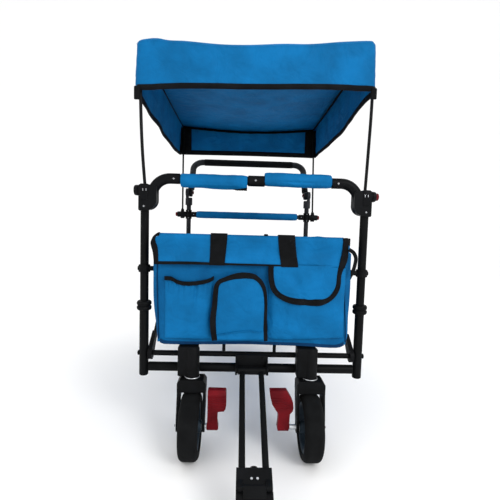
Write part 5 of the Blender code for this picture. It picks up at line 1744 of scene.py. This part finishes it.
def canopy():
    """Sewn roof and flaps in one sheet, its bound hems, seams, corner tabs and patches."""
    stations = canopy_stations()
    loop = stations + stations[:1]
    centre = Vector((0, sum(CANOPY_Y) / 2))
    bm = bmesh.new()
    levels = [[bm.verts.new((centre.x, centre.y, roof_z(*centre)))]]
    rings = 22
    for k in range(1, rings + 1):
        share = (k / rings) ** 0.85
        level = []
        for _, plan, out in stations:
            flat = centre + (plan - out * EAVE_R - centre) * share
            level.append(bm.verts.new((flat.x, flat.y, roof_z(flat.x, flat.y))))
        levels.append(level)
    for angle in (22, 45, 67, 90):
        levels.append([bm.verts.new(eave_point(s, angle)) for s in stations])
    drops = 16
    for step in range(1, drops + 1):
        levels.append([bm.verts.new(flap_point(s, step / drops)) for s in stations])
    add_rings(bm, levels)
    cloth = piece(
        "canopy_cloth", bm, CLOTH, "canopy_front", ["canopy"], angle=75, thickness=0.0009,
        offset=-1,
    )

    hem = bmesh.new()
    tape_widths = (0.0118, 0.0125, 0.0190, 0.0125)
    rows = []
    for station in loop:
        rise = hem_rise(station, tape_widths[station[0]])
        rows.append([flap_point(station, 1 - rise * v) for v in (-0.05, 0.3, 0.65, 1.0)])
    add_grid(hem, rows)
    bmesh.ops.remove_doubles(hem, verts=hem.verts, dist=1e-6)
    pieces = [piece("canopy_hem_binding", hem, BINDING, "canopy_front", angle=75, thickness=0.0030)]

    seam = bmesh.new()
    for side, reach in ((1, 1.2), (2, 1.35), (3, 0.45)):
        rows = []
        for station in [s for s in stations if s[0] == side]:
            base = eave_point(station, 45, 0.0016)
            tip = base + Vector((-station[2].x * 0.0115, -station[2].y * 0.0115, -0.0095)) * reach
            droop = 0.0014 * wrinkle(base, 30, 12)
            rows.append([base.lerp(tip, v) + Vector((0, 0, droop * v)) for v in (0, 0.5, 1.0)])
        add_grid(seam, rows)
    pieces.append(
        piece("canopy_seam_tape", seam, BINDING, "canopy_front", angle=60, thickness=0.0014),
    )

    patches = bmesh.new()
    for corner in CANOPY_CORNERS[2:]:
        rear = [s for s in stations if s[0] == 2 and abs(s[1].x - corner[0]) < 0.050]
        flank = [s for s in stations if s[0] != 2 and (s[1] - Vector(corner)).length < 0.032]
        chosen = rear + flank if corner[0] < 0 else flank + rear
        add_grid(patches, [[flap_point(s, i / 8, 0.0022) for i in range(9)] for s in chosen])
    pieces.append(piece(
        "canopy_rear_corner_patches", patches, WEBBING, "canopy_front", angle=60, thickness=0.0014,
    ))

    tabs = bmesh.new()
    for x, z in (((-0.2872, -0.2725), (0.8306, 0.8610)), ((0.2606, 0.2742), (0.8503, 0.8760))):
        add_slab(tabs, x, (-0.0180, -0.0118), z, 0.0029)
    pieces.append(piece("canopy_corner_tabs", tabs, WEBBING, "canopy_front"))

    lower = [flap_point(s, 1 - hem_rise(s, 0.004), -0.0018) for s in loop]
    pieces.append(
        stitching("canopy_stitches", [lower], "canopy_front", BINDING, 0.0050, 0.0034, 0.0009),
    )
    eave = [eave_point(s, 78, -0.0008) for s in loop]
    pieces.append(
        stitching("canopy_eave_stitches", [eave], "canopy_front", THREAD, 0.0050, 0.0034, 0.0008),
    )
    for made in (cloth, *pieces):
        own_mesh(made)


# Basket


def basket():
    """Cloth tub, its end panels and their bound tops."""
    steps, half = 40, BASKET_HALF
    start, end = -0.0082, DEPTH + 0.0082

    def rim_z(along):
        """Top of the side wall: it sags between the end panels."""
        base = FRONT_PANEL_TOP - 0.003 + (REAR_PANEL_TOP - FRONT_PANEL_TOP) * along
        return base - 0.012 * math.sin(math.pi * along)

    def wall_point(sign, along, up):
        """A point on a side wall, which is drawn in at mid height and a little uneven."""
        bow = 0.0060 * math.sin(math.pi * along) * math.sin(math.pi * up)
        puff = 0.0030 * wrinkle((sign, along * 0.8, up * 0.25), 9, 15)
        x = sign * (half - 0.0015 - bow + puff * math.sin(math.pi * up))
        z = FLOOR_Z - 0.004 + (rim_z(along) - FLOOR_Z + 0.004) * up
        return x, start + (end - start) * along, z

    tub = bmesh.new()
    rows = []
    for i in range(steps + 1):
        along = i / steps
        y = start + (end - start) * along
        row = [wall_point(-1, along, k / 12) for k in range(12, 0, -1)]
        for k in range(17):
            x = -half + 0.0015 + (2 * half - 0.003) * k / 16
            row.append((x, y, FLOOR_Z - 0.005 + 0.0018 * wrinkle((x, y, 0), 8, 21)))
        row += [wall_point(1, along, k / 12) for k in range(1, 13)]
        rows.append(row)
    add_grid(tub, rows)
    made = [piece(
        "basket_tub_cloth", tub, CLOTH, "front_frame", ["basket_tub"], angle=60, thickness=0.0018,
    )]
    rim = bmesh.new()
    for sign in (-1, 1):
        path = []
        for i in range(steps + 1):
            along = i / steps
            y = start + (end - start) * along
            path.append(Vector((sign * (half - 0.0015), y, rim_z(along) - 0.004)))
        add_band(rim, path, ((0, 0, 1), (1, 0, 0)), 0.018, 0.0042)
    made.append(piece("basket_rim_binding", rim, BINDING, "front_frame", angle=60))
    base = bmesh.new()
    for sign in (-1, 1):
        places = [start + (end - start) * i / 20 for i in range(21)]
        path = [Vector((sign * (half - 0.0030), y, FLOOR_Z - 0.0040)) for y in places]
        add_sweep(base, path, 0.0026, (0, 0, 1), 10)
    made.append(piece("basket_floor_piping", base, BINDING, "front_frame", angle=60))
    for cloth in made:
        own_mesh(cloth)

    def panel(name, y, top, body, node_name, seed):
        """An end panel with its bound top."""
        bm = bmesh.new()
        rows = []
        for k in range(17):
            up = k / 16
            z = PANEL_BOTTOM + (top - PANEL_BOTTOM) * up
            row = []
            for i in range(33):
                across = -1 + 2 * i / 32
                x = across * PANEL_HALF
                row.append((x, y + 0.0012 * wrinkle((x, z, 0), 12, seed), z))
            rows.append(row)
        add_grid(bm, rows)
        piece(name, bm, CLOTH, body, [node_name], angle=60, thickness=0.0018)
        edge = bmesh.new()
        path = [Vector((2 * PANEL_HALF * i / 24 - PANEL_HALF, y, top - 0.005)) for i in range(25)]
        add_band(edge, path, ((0, 0, 1), (0, 1, 0)), 0.018, 0.0044)
        piece(f"{name}_binding", edge, BINDING, body, angle=60)

    panel("basket_front_cloth", -0.0100, FRONT_PANEL_TOP, "front_frame", "basket_front", 31)
    panel("basket_rear_cloth", DEPTH + 0.0100, REAR_PANEL_TOP, "rear_frame", "basket_rear", 33)


def bag_edge_x(sign, z):
    """Contour of the bag, over its gussets."""
    return through(BAG_LEFT if sign < 0 else BAG_RIGHT, z)


def bag_seam_x(sign, z):
    """Seam between the bag's front and its gusset."""
    low, high = (-0.2230, -0.2272) if sign < 0 else (0.2232, 0.2144)
    return low + (high - low) * smoothstep((z - 0.272) / 0.160)


def bag_front_y(x, z):
    """Depth of the bag's front face, slightly filled out."""
    across = 1 - (x / BAG_HALF) ** 2
    up = (z - BAG_BOTTOM) / (BAG_TOP - BAG_BOTTOM)
    fill = 0.0015 * across * math.sin(math.pi * max(0, min(1, up)))
    return BAG_FACE_Y - fill + 0.0010 * wrinkle((x, z, 0), 16, 41)


def bag_body():
    """Main compartment of the organiser: front, side gussets, rounded bottom."""
    bm = bmesh.new()
    rings = []
    rises = [0.0, 0.003, 0.008, 0.016, 0.028] + [0.043 + 0.0120 * k for k in range(17)]
    back = -0.0126
    for rise in rises:
        z = BAG_BOTTOM + rise
        low = smoothstep(rise / 0.014)
        depth = 0.0190 + 0.0024 * low
        left, right = bag_seam_x(-1, z), bag_seam_x(1, z)
        ring = []
        for i in range(41):
            x = left + (right - left) * i / 40
            corner = smoothstep(min(i, 40 - i) / 2.0)
            y = back - depth * (0.86 + 0.14 * corner) + (bag_front_y(x, z) - BAG_FACE_Y) * corner
            drop = (through(BAG_HEM, x) - BAG_BOTTOM) * (1 - smoothstep(rise / 0.045))
            ring.append(bm.verts.new((x, y, z + drop)))
        for sign, places in ((1, (0.30, 0.65, 1.0)), (-1, (1.0, 0.65, 0.30))):
            edge = bag_edge_x(sign, z) - sign * 0.0060 * (1 - low)
            for k in places:
                pinch = 0.0022 * math.sin(2 * math.pi * k) * low
                gusset = (
                    (0.0, bag_seam_x(sign, z)), (0.30, edge - sign * 0.002),
                    (0.65, edge), (1.0, edge - sign * 0.001),
                )
                reach = through(gusset, k)
                ring.append(bm.verts.new((reach - sign * pinch, back - depth * 0.86 * (1 - k), z)))
        rings.append(ring)
    add_rings(bm, rings)
    bm.faces.new(rings[0])
    bm.faces.new(rings[-1])
    # The body wears the darker cloth copy, which paints the shade under the flap and around the
    # pockets
    piece("organiser_bag", bm, SHADED_CLOTH, "front_frame", ["organiser"], angle=50, subdivide=1)


def flap_profile(z):
    """Section of the top flap: rolled over its bar, drawn in below, kicked out at its hem."""
    up = (z - FLAP_HEM_Z) / (0.5265 - FLAP_HEM_Z)
    y = -0.0420 + 0.0052 * smoothstep(up / 0.4) * smoothstep((1.05 - up) / 0.5)
    return y - 0.0032 * (1 - smoothstep(up / 0.35))


def flap_end_x(sign, z):
    """Where the flap's blue cloth ends at either side."""
    return through(FLAP_LEFT_INNER if sign < 0 else FLAP_RIGHT_INNER, z)


def flap_hem_z(x):
    """Lower edge of the top flap: uneven, a little lower at its right end."""
    return 0.4586 + 0.0018 * wrinkle((x, 0, 0), 10, 52) - 0.0018 * smoothstep((x - 0.10) / 0.1)


def over_the_bar(part, share, lift_by):
    """A point (y, z, normal) on the way over the bar; part 0 at the flap's hem, 1 behind it."""
    if part < share:
        z = MOUTH_Z + (ROLL_FROM_Z - MOUTH_Z) * part / share
        return flap_profile(z) - lift_by, z, (0, -1, 0)
    turn = math.radians((part - share) / (1 - share) * 170)
    y = flap_profile(ROLL_FROM_Z) + ROLL_R - (ROLL_R + lift_by) * math.cos(turn)
    z = ROLL_CENTRE_Z + (0.0090 + lift_by) * math.sin(turn)
    return y, z, (0, -math.cos(turn), math.sin(turn))


def bag_flap():
    """Top flap over the bag's mouth: rolled edge, left end binding, hem and carry straps."""
    rows = []
    steps = 56
    spread = [i / steps for i in range(steps + 1)]
    for k in range(13):
        z = FLAP_HEM_Z + (ROLL_FROM_Z - FLAP_HEM_Z) * k / 12
        left, right = flap_end_x(-1, z) - 0.004, flap_end_x(1, z) + 0.004
        row = []
        for share in spread:
            x = left + (right - left) * share
            y = flap_profile(z) + 0.0013 * wrinkle((x, z, 0), 18, 51, (1, 2.2, 1))
            y += 0.0016 * math.exp(-((z - 0.4925) / 0.006) ** 2)
            row.append((x, y, z + (flap_hem_z(x) - FLAP_HEM_Z) * (1 - k / 12)))
        rows.append(row)
    left, right = flap_end_x(-1, 0.5269), flap_end_x(1, 0.5237) + 0.004
    for angle in (20, 45, 70, 95, 120, 150, 180):
        turn = math.radians(angle)
        y = flap_profile(ROLL_FROM_Z) + ROLL_R - ROLL_R * math.cos(turn)
        z = ROLL_CENTRE_Z + 0.0088 * math.sin(turn)
        hump = [0.0016 * math.exp(-((s - 0.86) / 0.02) ** 2) * math.sin(turn) for s in spread]
        rows.append([(left + (right - left) * s, y, z + h) for s, h in zip(spread, hump)])
    rows.append(
        [(left + (right - left) * s, flap_profile(ROLL_FROM_Z) + 0.0200, 0.5050) for s in spread],
    )
    front_cloth("organiser_flap", rows, 0.0016)
    path = []
    for share in spread:
        x = -0.2320 + 0.3350 * share
        path.append(Vector((x, flap_profile(FLAP_HEM_Z) - 0.0004, flap_hem_z(x) + 0.0006)))
    widths = [0.0076 - 0.0034 * smoothstep(s / 0.8) for s in spread]
    front_tape("flap_hem_binding", path, ((0, 0, 1), (0, 1, 0)), widths, 0.0030)
    path, ways, widths = [], [], []
    for k in range(29):
        y, z, normal = over_the_bar(k / 28, 0.72, 0.0006)
        outer, inner = through(FLAP_LEFT_OUTER, z), through(FLAP_LEFT_INNER, z)
        path.append(Vector(((outer + inner) / 2, y, z)))
        ways.append(((1, 0, 0), normal))
        widths.append(inner - outer)
    front_tape("flap_left_binding", path, ways, widths, 0.0030)
    straps = bmesh.new()
    forms = ((-0.0845, -0.0875, 0.039, 0.035), (0.0724, 0.0810, 0.040, 0.040))
    for top_x, low_x, top_width, low_width in forms:
        path, ways, widths = [], [], []
        for k in range(33):
            y, z, normal = over_the_bar(k / 32, 0.66, 0.0022)
            share = min(1.0, (z - MOUTH_Z) / 0.062)
            path.append(Vector((low_x + (top_x - low_x) * share, y, z)))
            ways.append(((1, 0, 0), normal))
            widths.append(low_width + (top_width - low_width) * share)
        add_band(straps, path, ways, widths, 0.0022)
    piece("organiser_straps", straps, WEBBING, "front_frame", angle=60)


def pocket_left():
    """Patch pocket with an elastic top: gathered below a sagging black band."""
    bottom, columns, rows_up = 0.2795, 44, 22
    rows = []
    for k in range(rows_up + 1):
        up = k / rows_up
        row = []
        for i in range(columns + 1):
            share = i / columns
            x_top = POCKET_LEFT_X + 0.1140 * share
            z = bottom + (through(ELASTIC, x_top) - bottom) * up
            x = POCKET_LEFT_X + (through(POCKET_LEFT_END, z) - POCKET_LEFT_X) * share
            belly = math.sin(math.pi * share) ** 0.6
            swell = 0.0085 * belly * math.sin(math.pi * min(1.0, 0.12 + up * 0.92)) ** 0.7
            gather = 0.0018 * math.sin(2 * math.pi * (9 * share + 0.35 * math.sin(5 * share)))
            gather *= smoothstep((up - 0.62) / 0.36)
            fold = 0.0030 * math.exp(-((share - 0.60 - 0.05 * up) / 0.035) ** 2)
            fold *= smoothstep((up - 0.28) / 0.4)
            y = BAG_FACE_Y - 0.0022 - swell - gather + fold
            y += 0.0018 * wrinkle((x, z, 0), 26, 61, (1.3, 0.7, 1))
            edge = min(share, 1 - share, up * 1.4)
            y += 0.0022 * (1 - smoothstep(edge / 0.05)) if up < 0.97 else 0
            row.append((x, y, z))
        rows.append(row)
    front_cloth("pocket_left_cloth", rows, 0.0010, subdivide=1)
    top = rows[-1]
    path = []
    for i, (x, _, z) in enumerate(top):
        front = min(p[1] for p in top[max(0, i - 3):i + 4])
        path.append(Vector((x, front - 0.0008, z)))
    front_tape("pocket_left_elastic", path, ((0, 0, 1), (0, -1, 0)), 0.0098, 0.0040)


def pocket_middle():
    """Bellows pocket: an arched face on a gusset, its edge bound in black."""
    outline = smooth_path(ARCH, 72)
    centre = Vector((-0.0320, 0.3500))

    def face_y(x, z, share):
        """Depth of the pocket's face; share 0 at its middle, 1 at its edge."""
        dome = 0.0035 * (1 - share ** 3)
        fold = 0.0035 * math.exp(-((z - 0.300 - 0.06 * x) / 0.006) ** 2)
        dent = 0.0030 * math.exp(-(((x + 0.015) / 0.030) ** 2 + ((z - 0.318) / 0.016) ** 2))
        return BAG_FACE_Y - 0.0210 - dome + fold + dent + 0.0019 * wrinkle((x, z, 0), 22, 71)

    base = [Vector((x, z)) for x, z, _ in outline]
    bm = bmesh.new()
    levels = [[bm.verts.new((centre.x, face_y(*centre, 0), centre.y))]]
    loop = base + [base[-1].lerp(base[0], k / 20) for k in range(1, 20)]
    for k in range(1, 15):
        share = k / 14
        level = []
        for p in loop:
            flat = centre + (p - centre) * (share * 0.975)
            level.append(bm.verts.new((flat.x, face_y(flat.x, flat.y, share), flat.y)))
        levels.append(level)
    for depth, spread in ((0.75, 1.0), (0.55, 0.985), (0.35, 1.0), (0.15, 0.985), (0.0, 1.01)):
        level = []
        for p in loop:
            flat = centre + (p - centre) * spread
            y = BAG_FACE_Y + 0.002 + (face_y(flat.x, flat.y, 1) - BAG_FACE_Y - 0.002) * depth
            level.append(bm.verts.new((flat.x, y, flat.y)))
        levels.append(level)
    add_rings(bm, levels)
    bm.faces.new(levels[-1])
    piece("pocket_middle_cloth", bm, CLOTH, "front_frame", angle=60, subdivide=1)
    path = [Vector((x, face_y(x, z, 1) + 0.0003, z)) for x, z, _ in outline]
    ways, widths = tape_ways([p[:2] for p in outline], 0.2), [p[2] for p in outline]
    front_tape("pocket_middle_binding", path, ways, widths, 0.0034)
    low = smooth_path(
        [(-0.0840, 0.2942), (-0.0473, 0.3015), (-0.0105, 0.3055), (0.0205, 0.3029)], 24,
    )
    path = [Vector((x, face_y(x, z, 0.7) - 0.0012, z)) for x, z in low]
    front_tape("pocket_middle_piping", path, tape_ways(low), 0.0022, 0.0022, CLOTH)


def pocket_right():
    """Large pocket under a round flap, whose black band runs down from the bag's top flap."""
    columns, rows_up = 50, 30
    left, right = POCKET_RIGHT_X
    rows = []
    for k in range(rows_up + 1):
        up = k / rows_up
        row = []
        for i in range(columns + 1):
            share = i / columns
            x = left + (right - left) * share
            low = through(POCKET_RIGHT_HEM, x)
            z = low + (MOUTH_Z - low) * up
            belly = math.sin(math.pi * share) ** 0.45
            swell = 0.0105 * belly * math.sin(math.pi * min(1.0, 0.10 + 0.78 * up)) ** 0.6
            edge = min(share, 1 - share, up + 0.02)
            y = BAG_FACE_Y - 0.0015 - swell * smoothstep(edge / 0.06)
            y += 0.0014 * wrinkle((x, z, 0), 15, 81)
            row.append((x, y, z))
        rows.append(row)
    front_cloth("pocket_right_cloth", rows, 0.0010, subdivide=1)

    def flap_y(x, z):
        """Depth of the pocket's flap, with its two slanting creases."""
        up = max(0.0, min(1.0, (z - 0.378) / (0.460 - 0.378)))
        middle = math.sin(math.pi * max(0.0, min(1.0, (x - 0.037) / 0.169)))
        first = 0.0034 * math.exp(-((x - 0.098 + 0.5 * (z - 0.42)) / 0.010) ** 2)
        second = 0.0030 * math.exp(-((x - 0.150 - 0.4 * (z - 0.40)) / 0.012) ** 2)
        crease = first * smoothstep((0.450 - z) / 0.02) + second * smoothstep((0.445 - z) / 0.02)
        y = BAG_FACE_Y - 0.0105 - 0.0055 * middle * (1 - 0.4 * up) + crease
        return y + 0.0017 * wrinkle((x, z, 0), 20, 91)

    band = smooth_path(RIGHT_BAND, 96)
    hem = [p for p in band if p[1] < 0.4590]
    rows = []
    for k in range(13):
        drop = k / 12
        row = []
        for i, (hem_x, hem_low, _) in enumerate(hem):
            top_x = hem[0][0] + (hem[-1][0] - hem[0][0]) * i / (len(hem) - 1)
            x = top_x + (hem_x - top_x) * drop
            z = 0.4610 + (hem_low - 0.4610) * drop
            row.append((x, flap_y(x, z), z))
        rows.append(row)
    front_cloth("pocket_right_flap", rows, 0.0014)
    path = []
    for x, z, _ in band:
        above = smoothstep((z - 0.450) / 0.012)
        if z > ROLL_FROM_Z:
            turn = math.asin(min(1.0, (z - ROLL_CENTRE_Z) / 0.0096))
            over = flap_profile(ROLL_FROM_Z) + ROLL_R - 0.0106 * math.cos(turn)
        else:
            over = flap_profile(z) - 0.0008
        path.append(Vector((x, flap_y(x, z) * (1 - above) + over * above - 0.0004, z)))
    ways = tape_ways([p[:2] for p in band])
    front_tape("right_flap_band", path, ways, [p[2] for p in band], 0.0034)
    inner = [
        Vector((x, flap_y(x, z) - 0.0026, z)) + side.normalized() * (width / 2 - 0.0022)
        for (x, z, width), (side, _) in zip(band, ways) if z < 0.4500
    ]
    stitching("pocket_flap_stitches", [inner], "front_frame", BINDING, 0.0042, 0.0030, 0.0008)


def bag_trim():
    """Seams at the bag's sides, its bottom tape, a loop at the right and the tabs below; side seams
    and bottom tape are darker blue for painted shade.
    """
    trim = bmesh.new()
    for sign in (-1, 1):
        path, ways = [], []
        for k in range(25):
            z = BAG_BOTTOM + 0.012 + (MOUTH_Z - BAG_BOTTOM - 0.012) * k / 24
            path.append(Vector((bag_seam_x(sign, z), BAG_FACE_Y + 0.0030, z)))
            ways.append(((1, 0.5 * sign, 0), (0.5 * sign, -1, 0)))
        add_band(trim, path, ways, 0.0030, 0.0024)
    piece("bag_side_piping", trim, PAINTED_SHADE_BLUE, "front_frame", angle=60)
    places = [-0.2190 + 0.4380 * i / 48 for i in range(49)]
    path = [Vector((x, -0.0326, through(BAG_HEM, x) + 0.0036)) for x in places]
    front_tape("bag_bottom_tape", path, ((0, 0.25, 1), (0, -1, 0.25)), 0.0085, 0.0016, PAINTED_SHADE_BLUE)
    path = [Vector((x, -0.0440, z)) for x, z in smooth_path(WEBBING_LOOP, 16)]
    ways = tape_ways([(p.x, p.z) for p in path])
    front_tape("bag_side_loop", path, ways, 0.0090, 0.0018, WEBBING)
    tabs = bmesh.new()
    for x, z_top in ((-0.068, 0.272), (0.054, 0.272)):
        path = [Vector((x, -0.0210 + 0.004 * k / 6, z_top - 0.030 * k / 6)) for k in range(7)]
        add_band(tabs, path, ((1, 0, 0), (0, -1, 0)), 0.0080, 0.0016)
    piece("bag_lower_tabs", tabs, WEBBING, "front_frame", angle=60)
    bar_end = bmesh.new()
    add_slab(bar_end, (0.0200, 0.0295), (-0.0360, -0.0260), (0.5250, 0.5305), 0.002)
    piece("flap_bar_end", bar_end, NYLON, "front_frame")


def organiser():
    """The organiser bag with its flap, pockets and trim."""
    bag_body()
    bag_flap()
    pocket_left()
    pocket_middle()
    pocket_right()
    bag_trim()


# Studio


def camera():
    """The photograph's viewpoint: in front, a little left of the middle, looking slightly down."""
    yaw, pitch, roll = 0.0305017, 0.0784740, 0.0276529
    focal_px, image_px = 393.81, 500.0
    forward = Vector(
        (math.sin(yaw) * math.cos(pitch), math.cos(yaw) * math.cos(pitch), -math.sin(pitch)),
    )
    level = Vector((math.cos(yaw), -math.sin(yaw), 0))
    upright = level.cross(forward)
    right = level * math.cos(roll) + upright * math.sin(roll)
    up = upright * math.cos(roll) - level * math.sin(roll)
    data = bpy.data.cameras.new("camera")
    data.sensor_width = 36.0
    data.lens = data.sensor_width * focal_px / image_px
    made = linked("camera", data)
    turn = Matrix((right, up, -forward)).transposed().to_4x4()
    stand = (-0.0398, FRONT_Y - 0.9498, 0.5645)
    made.matrix_world = Matrix.Translation(stand) @ turn
    data.clip_start = 0.05
    data.clip_end = 60
    bpy.context.scene.camera = made


def area_light(name, place, target, size, power):
    """A soft light aimed at a point."""
    data = bpy.data.lights.new(name, "AREA")
    data.shape = "RECTANGLE"
    data.size, data.size_y = size
    data.energy = power
    made = linked(name, data)
    made.location = place
    made.rotation_euler = (Vector(target) - Vector(place)).to_track_quat("-Z", "Y").to_euler()


def studio():
    """White sweep, soft key from the front right, fill from the left and above."""
    floor = bmesh.new()
    width, front, back, height, bend = 14.0, -9.0, 5.0, 8.0, 2.0
    profile = [(front, 0.0), *arc((back - bend, bend), bend, -90, 0, 16), (back, height)]
    rows = [[(x, y, z) for x in (-width / 2, width / 2)] for y, z in profile]
    add_grid(floor, rows)
    mesh = mesh_from("sweep", floor)
    mesh.shade_smooth()
    paper = bpy.data.materials.new("white_paper")
    paper.use_nodes = True
    shader = paper.node_tree.nodes["Principled BSDF"]
    shader.inputs["Base Color"].default_value = linear("f6f6f6")
    shader.inputs["Roughness"].default_value = 0.9
    mesh.materials.append(paper)
    linked("studio_sweep", mesh)
    world = bpy.data.worlds.new("studio")
    world.use_nodes = True
    world.node_tree.nodes["Background"].inputs["Color"].default_value = linear("ffffff")
    world.node_tree.nodes["Background"].inputs["Strength"].default_value = 1.05
    bpy.context.scene.world = world
    bpy.context.scene.view_settings.view_transform = "Standard"
    target = (0, 0.1, 0.5)
    area_light("key", (1.6, -2.6, 2.1), target, (1.2, 1.2), 50)
    area_light("fill", (-2.2, -2.0, 1.2), target, (1.8, 1.8), 8)
    area_light("top", (0.0, 0.6, 3.2), (0, 0.2, 0.9), (2.4, 2.4), 22)


camera()
studio()
uprights()
crossbars()
linkage()
wheels()
casters()
pedals()
elbows()
handle_bar()
rear_bar()
push_handle()
pull_handle()
poles()
canopy()
basket()
organiser()
